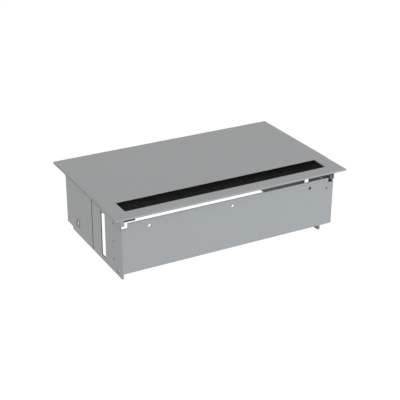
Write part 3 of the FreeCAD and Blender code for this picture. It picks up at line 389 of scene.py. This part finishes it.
def noise(tree, vector, scale, detail, roughness=0.5):
    """Soft noise between 0 and 1."""
    item = add_node(tree, "ShaderNodeTexNoise", {"Scale": scale, "Detail": detail, "Roughness": roughness})
    tree.links.new(vector, item.inputs["Vector"])
    return item.outputs["Fac"]


def scaled_colour(tree, colour, factor):
    """Colour times a factor that changes over the surface."""
    item = add_node(tree, "ShaderNodeVectorMath", operation="SCALE")
    tree.links.new(colour, item.inputs[0])
    tree.links.new(factor, item.inputs["Scale"])
    return item.outputs[0]


def new_group(name, inputs, outputs):
    """Empty shader node group with named sockets, and its two end nodes."""
    group = bpy.data.node_groups.new(name, "ShaderNodeTree")
    for label, kind in inputs:
        group.interface.new_socket(name=label, in_out="INPUT", socket_type=kind)
    for label, kind in outputs:
        group.interface.new_socket(name=label, in_out="OUTPUT", socket_type=kind)
    return group, group.nodes.new("NodeGroupInput"), group.nodes.new("NodeGroupOutput")


def finish_group(name, *inputs):
    """Empty group of a finish: beside its own inputs it takes a place, a colour and a roughness, and it
    puts out the colour, the roughness and a height."""
    return new_group(name, [("Vector", VECTOR), ("Colour", COLOUR), ("Roughness", VALUE), *inputs],
                     [("Colour", COLOUR), ("Roughness", VALUE), ("Height", VALUE)])


def end_finish(group, start, end, shade, gloss, height):
    """Join a finish group's ends: the colour times one plus the shade, the roughness plus the change of
    gloss, and the height."""
    factor = arithmetic(group, "ADD", shade, 1.0)
    group.links.new(scaled_colour(group, start.outputs["Colour"], factor), end.inputs["Colour"])
    roughness = arithmetic(group, "ADD", start.outputs["Roughness"], gloss)
    group.links.new(roughness, end.inputs["Roughness"])
    group.links.new(height, end.inputs["Height"])
    return group


def powder_coat_group():
    """Powder coat: slow mottle and fine specks in the colour, and the orange peel's waves as a height."""
    name = "Powder coat"
    if name in bpy.data.node_groups:
        return bpy.data.node_groups[name]
    group, start, end = finish_group(name, ("Mottle", VALUE), ("Speck", VALUE))
    gloss_swing, fine_share = 0.12, 0.4
    place = start.outputs["Vector"]
    slow = noise(group, place, scale=22.0, detail=3.0)
    fine = noise(group, place, scale=1500.0, detail=1.0)
    wave = noise(group, place, scale=620.0, detail=2.0)
    mottle = swing(group, slow, start.outputs["Mottle"])
    speck = swing(group, fine, start.outputs["Speck"])
    height = arithmetic(group, "ADD", wave, arithmetic(group, "MULTIPLY", fine, fine_share))
    return end_finish(group, start, end, shade=arithmetic(group, "ADD", mottle, speck),
                      gloss=swing(group, slow, gloss_swing), height=height)


def drawn_metal_group():
    """Drawn or rolled metal: noise stretched along one direction gives fine lines, and a slow tarnish
    changes its shade and gloss."""
    name = "Drawn metal"
    if name in bpy.data.node_groups:
        return bpy.data.node_groups[name]
    group, start, end = finish_group(name, ("Stretch", VECTOR), ("Lines", VALUE))
    tarnish_swing = 0.25
    pulled = add_node(group, "ShaderNodeVectorMath", operation="MULTIPLY")
    group.links.new(start.outputs["Vector"], pulled.inputs[0])
    group.links.new(start.outputs["Stretch"], pulled.inputs[1])
    line = noise(group, pulled.outputs[0], scale=1.0, detail=3.0, roughness=0.6)
    tarnish = noise(group, start.outputs["Vector"], scale=180.0, detail=3.0)
    lines = swing(group, line, start.outputs["Lines"])
    dull = swing(group, tarnish, tarnish_swing)
    return end_finish(group, start, end, shade=arithmetic(group, "ADD", lines, dull),
                      gloss=dull, height=line)


def moulded_group():
    """Moulded plastic or rubber: the mould's spark texture as a height, with a faint change of shade and
    gloss."""
    name = "Moulded grain"
    if name in bpy.data.node_groups:
        return bpy.data.node_groups[name]
    group, start, end = finish_group(name, ("Grain", VALUE))
    gloss_swing = 0.2
    place = start.outputs["Vector"]
    cell = add_node(group, "ShaderNodeTexVoronoi", {"Scale": 1900.0})
    group.links.new(place, cell.inputs["Vector"])
    slow = noise(group, place, scale=45.0, detail=3.0)
    return end_finish(group, start, end, shade=swing(group, slow, start.outputs["Grain"]),
                      gloss=swing(group, slow, gloss_swing), height=cell.outputs["Distance"])


def cut_edge_group():
    """Cut edges of a shell bent from sheet: a mask of the points inside the sheet's thickness, away from
    both of its faces, for painted shade. Depth counts from the wall's face between the bends, and from
    the wings' faces past them. Inward is 1 or -1, the way in Y from the wall's face into the shell."""
    name = "Cut edges"
    if name in bpy.data.node_groups:
        return bpy.data.node_groups[name]
    group, start, end = new_group(
        name, [("Vector", VECTOR), ("Wall", VALUE), ("Inward", VALUE), ("Wing", VALUE),
               ("Sheet", VALUE), ("Bend", VALUE)], [("Mask", VALUE)])
    middle, half_share = 0.5, 0.42
    parts = add_node(group, "ShaderNodeSeparateXYZ")
    group.links.new(start.outputs["Vector"], parts.inputs[0])
    behind = arithmetic(group, "SUBTRACT", parts.outputs["Y"], start.outputs["Wall"])
    from_wall = arithmetic(group, "MULTIPLY", behind, start.outputs["Inward"])
    across = arithmetic(group, "ABSOLUTE", parts.outputs["X"])
    from_wing = arithmetic(group, "SUBTRACT", start.outputs["Wing"], across)

    def edge(depth, other):
        """Inside the sheet by one depth, and past the bend by the other."""
        share = arithmetic(group, "DIVIDE", depth, start.outputs["Sheet"])
        off_middle = arithmetic(group, "ABSOLUTE", arithmetic(group, "SUBTRACT", share, middle))
        inside = arithmetic(group, "LESS_THAN", off_middle, half_share)
        past = arithmetic(group, "GREATER_THAN", other, start.outputs["Bend"])
        return arithmetic(group, "MULTIPLY", inside, past)

    mask = arithmetic(group, "MAXIMUM", edge(from_wall, from_wing), edge(from_wing, from_wall))
    group.links.new(mask, end.inputs["Mask"])
    return group


def finish_material(name, group, values, relief, metallic=0.0, specular=0.5):
    """Material with one finish group in Object coordinates, and the group's height as a bump of a real
    depth."""
    if name in bpy.data.materials:
        return bpy.data.materials[name]
    material = bpy.data.materials.new(name)
    material.use_nodes = True
    tree = material.node_tree
    shader = tree.nodes["Principled BSDF"]
    shader.inputs["Metallic"].default_value = metallic
    shader.inputs["Specular IOR Level"].default_value = specular
    place = add_node(tree, "ShaderNodeTexCoord")
    finish = add_node(tree, "ShaderNodeGroup", node_tree=group)
    for label, value in values.items():
        finish.inputs[label].default_value = (*value, 1.0) if label == "Colour" else value
    bump = add_node(tree, "ShaderNodeBump", {"Strength": 1.0, "Distance": relief})
    tree.links.new(place.outputs["Object"], finish.inputs["Vector"])
    tree.links.new(finish.outputs["Colour"], shader.inputs["Base Color"])
    tree.links.new(finish.outputs["Roughness"], shader.inputs["Roughness"])
    tree.links.new(finish.outputs["Height"], bump.inputs["Height"])
    tree.links.new(bump.outputs["Normal"], shader.inputs["Normal"])
    material.diffuse_color = (*values["Colour"], 1.0)
    return material


def coat_material(scene, name="Grey powder coat", shade=1.0):
    """Powder coat in the scene's settings, darkened by a shade."""
    coat = scene.desk_unit_coat
    values = {"Colour": tuple(shade * part for part in coat.colour), "Mottle": coat.mottle,
              "Speck": coat.speck, "Roughness": coat.roughness}
    return finish_material(name, powder_coat_group(), values, coat.peel, specular=0.35)


def shell_material(scene, node, inward):
    """Powder coat on a shell's faces and a dark colour on its cut edges, painted shade."""
    low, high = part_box(node)
    material = coat_material(scene, f"Coated {node.replace('_', ' ')}")
    tree = material.node_tree
    shader = tree.nodes["Principled BSDF"]
    coated = shader.inputs["Base Color"].links[0].from_socket
    place = add_node(tree, "ShaderNodeTexCoord")
    edges = add_node(tree, "ShaderNodeGroup", node_tree=cut_edge_group())
    for label, value in {"Wall": low.y if inward > 0 else high.y, "Inward": inward, "Wing": high.x,
                         "Sheet": SHEET, "Bend": BEND}.items():
        edges.inputs[label].default_value = value
    # The mix node has sockets of the same names for other kinds, so its colour ones go by number
    mix = add_node(tree, "ShaderNodeMix", data_type="RGBA")
    factor, first, second = (mix.inputs[index] for index in (0, 6, 7))
    mixed = mix.outputs[2]
    # Painted shade: the cut edges get the dark colour
    second.default_value = (*scene.desk_unit_coat.edge_shade, 1.0)
    tree.links.new(place.outputs["Object"], edges.inputs["Vector"])
    tree.links.new(edges.outputs["Mask"], factor)
    tree.links.new(coated, first)
    tree.links.new(mixed, shader.inputs["Base Color"])
    return material


def metal_material(name, colour, stretch, lines, roughness):
    """Metal with fine lines, which a stretch with one small part draws out along that axis."""
    values = {"Colour": tuple(colour), "Stretch": stretch, "Lines": lines, "Roughness": roughness}
    return finish_material(name, drawn_metal_group(), values, FINE_RELIEF, metallic=1.0)


def zinc_material(scene):
    """Pale zinc plating with an even, fine grain."""
    return metal_material("Zinc plating", scene.desk_unit_metals.zinc,
                          stretch=(900.0, 900.0, 900.0), lines=0.18, roughness=0.34)


def moulded_material(name, colour, grain, roughness, specular):
    """Plastic or rubber from a mould."""
    values = {"Colour": tuple(colour), "Grain": grain, "Roughness": roughness}
    return finish_material(name, moulded_group(), values, FINE_RELIEF, specular=specular)


def dress(names, material):
    """Give carried-over nodes their finish."""
    for name in names:
        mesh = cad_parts[name].data
        mesh.materials.clear()
        mesh.materials.append(material)


def settle(item, material, body, slot, *stands_for):
    """Finish a new piece: its material, the body it rides and the nodes it stands for; the slot is not
    used.
    """
    item.data.materials.append(material)
    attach(item, body)
    if stands_for:
        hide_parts(*stands_for)


# Operators, one for each piece or group of like pieces

class DESKUNIT_OT_coat_sheet(bpy.types.Operator):
    """Grey powder coat on the sheet steel, with painted shade on the shells' cut edges and the partition"""
    bl_idname = "deskunit.coat_sheet"
    bl_label = "Coat sheet steel"

    def execute(self, context):
        scene = context.scene
        dress(SHEET_NODES, coat_material(scene))
        # The inner partition gets a darker coat as painted shade for the inside of the unit
        dress(("right_partition",), coat_material(scene, "Inner coat in painted shade", scene.desk_unit_coat.inner))
        dress(("front_shell",), shell_material(scene, "front_shell", 1.0))
        dress(("rear_shell",), shell_material(scene, "rear_shell", -1.0))
        return {"FINISHED"}


class DESKUNIT_OT_lay_brush(bpy.types.Operator):
    """Brush strip of single nylon filaments, held at the front and free at the lid"""
    bl_idname = "deskunit.lay_brush"
    bl_label = "Lay brush"
    seed = 41
    sides = 3
    crest_drop = 0.1 * MM
    tip_gap = 0.3 * MM
    root_scatter, lean_scatter, level_scatter = 0.3, 0.4, 0.35
    lower_share = 0.7
    end_power = 60
    ring_shares = (0.0, 0.13, 0.24, 0.5, 1.0)
    ring_taper = (1.0, 1.0, 1.0, 0.97, 0.75)
    relief = 0.01 * MM
    # Painted shade: share of the filaments' colour left at their tips
    painted_tip_shade = 0.3

    def nylon(self, brush, root, tip):
        """Black nylon, paler at the roots as a painted sheen and darker at the tips as painted shade."""
        values = {"Colour": tuple(brush.colour), "Grain": 0.6, "Roughness": 0.5}
        material = finish_material("Brush nylon", moulded_group(), values, self.relief, specular=0.1)
        tree = material.node_tree
        shader = tree.nodes["Principled BSDF"]
        black = shader.inputs["Base Color"].links[0].from_socket
        place = add_node(tree, "ShaderNodeTexCoord")
        parts = add_node(tree, "ShaderNodeSeparateXYZ")
        # Painted light: the colour runs from painted shade at the tips to a painted sheen at the roots
        root_sheen = add_node(tree, "ShaderNodeMapRange", {
            "From Min": tip, "From Max": root,
            "To Min": self.painted_tip_shade, "To Max": self.painted_tip_shade + brush.root_sheen})
        tree.links.new(place.outputs["Object"], parts.inputs[0])
        tree.links.new(parts.outputs["Y"], root_sheen.inputs["Value"])
        tree.links.new(scaled_colour(tree, black, root_sheen.outputs[0]), shader.inputs["Base Color"])
        return material

    def execute(self, context):
        brush = context.scene.desk_unit_brush
        low, high = box_of("brush_bristles")
        holder_low, holder_high = box_of("brush_holder")
        lid_low, lid_high = box_of("lid")
        count = brush.across * brush.rows
        chance = np.random.default_rng(self.seed)
        # Each filament starts in the holder's narrow slit, fans out to its row's height and rises to its
        # tip. The upper row ends about level with the lid's upper face. The lower the row, the further it
        # reaches under the lid, and at the strip's ends under the trim
        column = np.tile((np.arange(brush.across) + 0.5) / brush.across, brush.rows)
        row = np.repeat((np.arange(brush.rows) + 0.5) / brush.rows, brush.across)
        first, last = low[0] + brush.thickness / 2, high[0] - brush.thickness / 2
        root = column + chance.normal(0, self.root_scatter, count) / brush.across
        root_x = first + (last - first) * np.clip(root, 0, 1)
        lean = brush.lean * np.clip(chance.normal(0, self.lean_scatter, count), -1, 1)
        level = np.clip(row + chance.normal(0, self.level_scatter, count) / brush.rows, 0, 1)
        below = np.clip(1 - level / self.lower_share, 0, 1)
        near_end = np.sign(root_x) * np.abs(2 * column - 1) ** self.end_power
        tip_x = np.clip(root_x + lean, first, last) + brush.splay * below * near_end
        shorter = brush.ragged * chance.random(count) ** 2
        tip_y = lid_low[1] - self.tip_gap - shorter + brush.overlap * below
        slit = (holder_low[2] + holder_high[2]) / 2 + brush.slit * (row - 0.5)
        body = low[2] + brush.thickness + (high[2] - low[2] - 2 * brush.thickness) * level
        rise = level * (lid_high[2] - self.crest_drop - high[2])
        share = np.array(self.ring_shares)
        depth = low[1] + (tip_y - low[1])[:, None] * share
        past = np.clip((depth - low[1]) / (holder_high[1] + brush.fan - low[1]), 0, 1)
        fan = past * past * (3 - 2 * past)
        height = slit[:, None] + (body - slit)[:, None] * fan + rise[:, None] * share ** 2
        path = np.stack([root_x[:, None] + (tip_x - root_x)[:, None] * share ** 2, depth, height], -1)
        radius = brush.thickness / 2 * np.array(self.ring_taper)
        item = solid_piece("brush_filaments", *tubes(path, radius, self.sides), weld=False)
        nylon = self.nylon(brush, holder_high[1], high[1])
        settle(item, nylon, "housing", "brush_nylon", "brush_bristles")
        return {"FINISHED"}


class DESKUNIT_OT_draw_holder(bpy.types.Operator):
    """Extrusion lines on the aluminium brush holder"""
    bl_idname = "deskunit.draw_holder"
    bl_label = "Draw brush holder"

    def execute(self, context):
        drawn = metal_material("Extruded aluminium", context.scene.desk_unit_metals.aluminium,
                               stretch=(4.0, 2600.0, 2600.0), lines=0.2, roughness=0.38)
        dress(("brush_holder",), drawn)
        return {"FINISHED"}


class DESKUNIT_OT_set_rivets(bpy.types.Operator):
    """Blind rivets with flat domed heads and the open hole of the drawn-out mandrel"""
    bl_idname = "deskunit.set_rivets"
    bl_label = "Set rivets"
    columns = 28
    dome_rings = 9
    # Head, shank and holes are radii
    head = 2.1 * MM
    height = 0.8 * MM
    shank = 1.2 * MM
    length = 3.0 * MM
    post_hole = 0.9 * MM
    partition_hole = 1.2 * MM

    def rivet(self, hole):
        """Turned profile: the shank's end and side, the head's flat underside, a dome whose height falls
        with the fourth power of the radius, the hole's rolled rim, its wall and its floor."""
        head, height, shank, length = self.head, self.height, self.shank, self.length
        fall, chamfer = 0.75, 0.1 * shank
        rim, wall, floor = 0.92 * hole, 0.86 * hole, -0.6 * length
        radius = np.linspace(head, hole, self.dome_rings)
        dome = height * (1 - fall * (radius / head) ** 4)
        foot = [[0, -length], [shank - chamfer, -length], [shank, chamfer - length], [shank, 0], [head, 0]]
        well = [[rim, 0.9 * height], [wall, 0.6 * height], [wall, floor], [0, floor]]
        return turned(np.vstack([foot, np.stack([radius, dome], -1), well]), self.columns)

    def fit(self, node, material, hole, sides):
        """All rivets of a node in one piece. Each side has an outward axis and the rivets' levels, as
        shares of the way from the lowest place to the highest."""
        low, high = box_of(node)
        points, quads = self.rivet(hole)
        shapes = []
        for axis, levels in sides:
            along = int(np.argmax(np.abs(axis)))
            places = np.tile((low + high) / 2, (len(levels), 1))
            places[:, along] = low[along] + self.height if axis[along] < 0 else high[along] - self.height
            places[:, 2] = low[2] + self.head + np.array(levels) * (high[2] - low[2] - 2 * self.head)
            shapes.append(stood(points, places, axis))
        stack = np.concatenate(shapes)
        faces = repeated(len(points), quads, len(stack) // len(points))
        item = solid_piece(f"{node}_set", stack, faces)
        settle(item, material, "housing", "plated_steel", node)

    def execute(self, context):
        dull = metal_material("Dull rivet steel", context.scene.desk_unit_metals.rivet,
                              stretch=(700.0, 700.0, 700.0), lines=0.3, roughness=0.5)
        three = (0.0, 0.5, 1.0)
        self.fit("post_rivets", dull, self.post_hole, (((-1, 0, 0), three), ((1, 0, 0), three)))
        self.fit("partition_rivets", dull, self.partition_hole,
                 (((0, -1, 0), (1.0,)), ((0, 1, 0), (0.0, 1.0))))
        dress(("brush_rivets",), dull)
        return {"FINISHED"}


class DESKUNIT_OT_drive_screws(bpy.types.Operator):
    """Carrier screws with a crossed drive and a thread, and their hexagon nuts"""
    bl_idname = "deskunit.drive_screws"
    bl_label = "Drive carrier screws"
    screws = 3
    radius = 2.0 * MM
    thread_depth = 0.42 * MM
    nut_bore = 4.1 * MM

    def execute(self, context):
        zinc = zinc_material(context.scene)
        pitch = context.scene.desk_unit_metals.thread_pitch
        low, high = box_of("carrier_screws")
        nut_low, nut_high = box_of("carrier_nuts")
        outward = (0, 1, 0)
        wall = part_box("rear_shell")[1].y
        places = row_along_x("carrier_screws", self.screws)
        places[:, 1] = wall
        head = cross_head((high[2] - low[2]) / 2, high[1] - wall)
        rod, rod_faces = threaded_rod(self.radius, self.thread_depth, pitch, wall - low[1])
        rod[:, 2] -= wall - low[1]
        for name, shape in (("carrier_screw_heads", head), ("carrier_screw_threads", (rod, rod_faces))):
            item = stood_piece(name, shape, places, outward)
            settle(item, zinc, "housing", "plated_steel", "carrier_screws")
        places[:, 1] = nut_low[1]
        nut = hexagon_nut(nut_high[2] - nut_low[2], nut_high[1] - nut_low[1], self.nut_bore)
        item = stood_piece("carrier_nuts_cut", nut, places, outward)
        settle(item, zinc, "housing", "plated_steel", "carrier_nuts")
        return {"FINISHED"}


class DESKUNIT_OT_fit_earth(bpy.types.Operator):
    """Threaded earth stud with its washer and hexagon nut"""
    bl_idname = "deskunit.fit_earth"
    bl_label = "Fit earth stud"
    thread_depth = 0.45 * MM
    pitch = 0.8 * MM
    nut_bore = 5.1 * MM
    washer_bore = 5.3 * MM
    washer_columns = 48

    def fit(self, name, node, shape, material):
        """Stand a shape on the stud's line, with its foot at the rear of the node that it stands for."""
        foot = np.mean(box_of("earth_stud"), axis=0)
        foot[1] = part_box(node)[1].y
        item = stood_piece(name, shape, [foot], (0, -1, 0))
        settle(item, material, "housing", "plated_steel", node)

    def execute(self, context):
        zinc = zinc_material(context.scene)
        low, high = box_of("earth_stud")
        stud = threaded_rod((high[2] - low[2]) / 2, self.thread_depth, self.pitch, high[1] - low[1])
        self.fit("earth_stud_thread", "earth_stud", stud, zinc)
        low, high = box_of("earth_nut")
        nut = hexagon_nut(high[2] - low[2], high[1] - low[1], self.nut_bore)
        self.fit("earth_nut_cut", "earth_nut", nut, zinc)
        low, high = box_of("earth_washer")
        rim, bore, thick = (high[2] - low[2]) / 2, self.washer_bore / 2, high[1] - low[1]
        # The washer's section is an oblong with its corners cut round
        section = np.array([[bore, 0], [rim, 0], [rim, thick], [bore, thick]])
        washer = turned_ring(section, self.washer_columns)
        self.fit("earth_washer_round", "earth_washer", washer, zinc)
        return {"FINISHED"}


class DESKUNIT_OT_plate_pins(bpy.types.Operator):
    """Zinc plating on the lid's and the flaps' hinge pins"""
    bl_idname = "deskunit.plate_pins"
    bl_label = "Plate hinge pins"

    def execute(self, context):
        dress(PIN_NODES, zinc_material(context.scene))
        return {"FINISHED"}


class DESKUNIT_OT_mould_sockets(bpy.types.Operator):
    """Semi gloss plastic on the socket inserts, the data insert and its flaps"""
    bl_idname = "deskunit.mould_sockets"
    bl_label = "Mould sockets"

    def execute(self, context):
        plastics = context.scene.desk_unit_plastics
        dress(SOCKET_NODES, moulded_material("Socket plastic", plastics.socket,
                                             grain=0.12, roughness=0.3, specular=0.5))
        dress(FLAP_NODES, moulded_material("Flap plastic", plastics.flap,
                                           grain=0.12, roughness=0.36, specular=0.5))
        return {"FINISHED"}


class DESKUNIT_OT_mould_box(bpy.types.Operator):
    """Matt plastic on the wiring box, the mains inlet and the brush's end blocks"""
    bl_idname = "deskunit.mould_box"
    bl_label = "Mould wiring box"

    def execute(self, context):
        plastics = context.scene.desk_unit_plastics
        dress(BOX_NODES, moulded_material("Box plastic", plastics.box,
                                          grain=0.2, roughness=0.5, specular=0.4))
        return {"FINISHED"}


class DESKUNIT_OT_set_contacts(bpy.types.Operator):
    """Plain brass on the sleeves, clips, bars and inlet pins"""
    bl_idname = "deskunit.set_contacts"
    bl_label = "Set brass contacts"

    def execute(self, context):
        brass = metal_material("Contact brass", context.scene.desk_unit_metals.brass,
                               stretch=(30.0, 1500.0, 1500.0), lines=0.2, roughness=0.3)
        dress(BRASS_NODES, brass)
        return {"FINISHED"}


class DESKUNIT_OT_wire_ports(bpy.types.Operator):
    """Eight bent spring wires in each data port"""
    bl_idname = "deskunit.wire_ports"
    bl_label = "Wire data ports"
    wires = 8
    spacing = 1.02 * MM
    radius = 0.2 * MM
    sides = 8
    rings = 20
    drop = 2.0 * MM
    hairpin = ((0, 15.2, 3.5), (0, 1.6, 3.7), (0, 2.4, 2.4), (0, 12.6, -0.9))

    def execute(self, context):
        low, high = box_of("data_module")
        height = (low[2] + high[2]) / 2 - self.drop
        # Each wire is a hairpin: a cubic curve from the port's rear, forwards under its roof and back down
        way = np.linspace(0, 1, self.rings)[:, None]
        rest = 1 - way
        rear, roof, bend, tip = np.array(self.hairpin) * MM
        curve = rest ** 3 * rear + 3 * way * rest ** 2 * roof + 3 * way ** 2 * rest * bend + way ** 3 * tip
        middles = [np.mean(box_of(flap), axis=0)[0] for flap in FLAP_NODES]
        offsets = (np.arange(self.wires) - (self.wires - 1) / 2) * self.spacing
        places = np.add.outer(middles, offsets).ravel()
        starts = np.stack([places, 0 * places + low[1], 0 * places + height], -1)
        wires = tubes(starts[:, None] + curve, np.full(self.rings, self.radius), self.sides)
        item = solid_piece("data_contact_wires", *wires)
        gold = metal_material("Gold flash", context.scene.desk_unit_metals.gold,
                              stretch=(400.0, 400.0, 400.0), lines=0.1, roughness=0.22)
        settle(item, gold, "housing", "contact_brass")
        return {"FINISHED"}


class DESKUNIT_OT_press_rubber(bpy.types.Operator):
    """Rubber grommet with soft lips in the left wall, and the lid's rubber pads"""
    bl_idname = "deskunit.press_rubber"
    bl_label = "Press rubber"
    bore = 8.0 * MM
    neck_depth = 2.1 * MM
    neck_width = 1.7 * MM
    columns = 40

    def execute(self, context):
        plastics = context.scene.desk_unit_plastics
        grey = moulded_material("Grey rubber", plastics.grommet, grain=0.2, roughness=0.62, specular=0.3)
        black = moulded_material("Black rubber", plastics.rubber, grain=0.3, roughness=0.62, specular=0.3)
        low, high = box_of("cable_grommet")
        lip, half = (high[1] - low[1]) / 2, (high[0] - low[0]) / 2
        bore, neck, wall = self.bore / 2, lip - self.neck_depth, self.neck_width / 2
        # The ring's section is a spool, turned about the bore's axis with its corners cut round
        section = np.array([[bore, -half], [lip, -half], [lip, -wall], [neck, -wall],
                            [neck, wall], [lip, wall], [lip, half], [bore, half]])
        ring = turned_ring(section, self.columns)
        item = stood_piece("cable_grommet_soft", ring, [(low + high) / 2], (-1, 0, 0))
        settle(item, grey, "housing", "grey_rubber", "cable_grommet")
        dress(("lid_bumpers",), black)
        return {"FINISHED"}


class DESKUNIT_OT_set_stage(bpy.types.Operator):
    """Pale floor far below the hanging unit, even studio light, two lamps and the camera"""
    bl_idname = "deskunit.set_stage"
    bl_label = "Set stage"
    white = (1.0, 1.0, 1.0, 1.0)
    floor_reach = 9.0
    floor_roughness = 0.9
    floor_white = 0.8
    key_place, key_size = (0.7, -2.3, 0.65), 1.9
    side_place, side_size = (-2.4, -0.5, 0.4), 1.7
    sensor_width = 36.0

    @staticmethod
    def seen_white(tree, base, strength):
        """Add plain white for rays that show the background, so that it looks white without more light."""
        path = add_node(tree, "ShaderNodeLightPath")
        shown = arithmetic(tree, "MAXIMUM", path.outputs["Is Camera Ray"], path.outputs["Is Glossy Ray"])
        shown = arithmetic(tree, "MAXIMUM", shown, path.outputs["Is Transmission Ray"])
        return arithmetic(tree, "MULTIPLY_ADD", shown, strength, base)

    def light_room(self, scene, stage):
        """Even light from all round."""
        world = bpy.data.worlds.new("Studio")
        world.use_nodes = True
        tree = world.node_tree
        background = tree.nodes["Background"]
        background.inputs["Color"].default_value = self.white
        strength = self.seen_white(tree, stage.ambient, 1.0 - stage.ambient)
        tree.links.new(strength, background.inputs["Strength"])
        scene.world = world

    def lay_floor(self, scene, stage):
        """Flat floor that looks white and sends little light back up."""
        reach, level = self.floor_reach, -stage.floor_drop
        corners = [(-reach, -reach, level), (reach, -reach, level),
                   (reach, reach, level), (-reach, reach, level)]
        mesh = bpy.data.meshes.new("floor")
        mesh.from_pydata(corners, [], [(0, 1, 2, 3)])
        floor = bpy.data.objects.new("floor", mesh)
        scene.collection.objects.link(floor)
        pale = bpy.data.materials.new("Pale floor")
        pale.use_nodes = True
        tree = pale.node_tree
        shader = tree.nodes["Principled BSDF"]
        shader.inputs["Base Color"].default_value = (*[stage.floor_grey] * 3, 1.0)
        shader.inputs["Roughness"].default_value = self.floor_roughness
        shader.inputs["Emission Color"].default_value = self.white
        glow = self.seen_white(tree, 0.0, self.floor_white)
        tree.links.new(glow, shader.inputs["Emission Strength"])
        mesh.materials.append(pale)

    def hang_lamp(self, scene, name, place, size, power, colour):
        """Round lamp that shines at the unit's middle."""
        data = bpy.data.lights.new(name, "AREA")
        data.shape = "DISK"
        data.size = size
        data.energy = power
        data.color = colour
        item = bpy.data.objects.new(name, data)
        aim = (Vector(CAD_BOX[0]) + Vector(CAD_BOX[1])) / 2
        item.location = place
        item.rotation_euler = (aim - Vector(place)).to_track_quat("-Z", "Y").to_euler()
        scene.collection.objects.link(item)

    def set_camera(self, scene, stage):
        """Camera at a distance from its target, by its azimuth, elevation and roll."""
        data = bpy.data.cameras.new("Camera")
        data.sensor_width = self.sensor_width
        data.lens = data.sensor_width * stage.focal / FRAME_PIXELS
        camera = bpy.data.objects.new("Camera", data)
        scene.collection.objects.link(camera)
        back = Vector((math.sin(stage.azimuth) * math.cos(stage.elevation),
                       -math.cos(stage.azimuth) * math.cos(stage.elevation), math.sin(stage.elevation)))
        right = Vector((math.cos(stage.azimuth), math.sin(stage.azimuth), 0.0))
        axes = Matrix((right, back.cross(right), back)).transposed()
        turn = Matrix.Rotation(stage.roll, 3, "Z")
        place = Matrix.Translation(Vector(stage.target) + stage.distance * back)
        camera.matrix_world = place @ (axes @ turn).to_4x4()
        scene.camera = camera

    def execute(self, context):
        scene = context.scene
        stage = scene.desk_unit_stage
        scene.view_settings.view_transform = "Standard"
        self.light_room(scene, stage)
        self.lay_floor(scene, stage)
        self.hang_lamp(scene, "Key light", self.key_place, self.key_size, stage.key, stage.key_colour)
        self.hang_lamp(scene, "Side light", self.side_place, self.side_size, stage.side, stage.side_colour)
        self.set_camera(scene, stage)
        return {"FINISHED"}


STEPS = (DESKUNIT_OT_coat_sheet, DESKUNIT_OT_lay_brush, DESKUNIT_OT_draw_holder, DESKUNIT_OT_set_rivets,
         DESKUNIT_OT_drive_screws, DESKUNIT_OT_fit_earth, DESKUNIT_OT_plate_pins, DESKUNIT_OT_mould_sockets,
         DESKUNIT_OT_mould_box, DESKUNIT_OT_set_contacts, DESKUNIT_OT_wire_ports, DESKUNIT_OT_press_rubber,
         DESKUNIT_OT_set_stage)
SETTINGS = {"desk_unit_coat": DeskUnitCoat, "desk_unit_brush": DeskUnitBrush,
            "desk_unit_metals": DeskUnitMetals, "desk_unit_plastics": DeskUnitPlastics,
            "desk_unit_stage": DeskUnitStage}


class DESKUNIT_PT_panel(bpy.types.Panel):
    """Settings and steps of the desk socket unit"""
    bl_idname = "DESKUNIT_PT_panel"
    bl_label = "Desk socket unit"
    bl_space_type = "VIEW_3D"
    bl_region_type = "UI"
    bl_category = "Desk Unit"

    def draw(self, context):
        for name in SETTINGS:
            box = self.layout.box()
            settings = getattr(context.scene, name)
            for key in settings.__annotations__:
                box.prop(settings, key)
        for step in STEPS:
            self.layout.operator(step.bl_idname)


CLASSES = tuple(SETTINGS.values()) + STEPS + (DESKUNIT_PT_panel,)


def register():
    """Register the classes and hang the settings on the scene."""
    for item in CLASSES:
        bpy.utils.register_class(item)
    for name, group in SETTINGS.items():
        setattr(bpy.types.Scene, name, PointerProperty(type=group))


def unregister():
    """Take the settings and the classes away again."""
    for name in SETTINGS:
        delattr(bpy.types.Scene, name)
    for item in reversed(CLASSES):
        bpy.utils.unregister_class(item)


def main():
    """Run every step in order."""
    register()
    for step in STEPS:
        area, action = step.bl_idname.split(".")
        getattr(getattr(bpy.ops, area), action)()


if __name__ == "__main__":
    main()
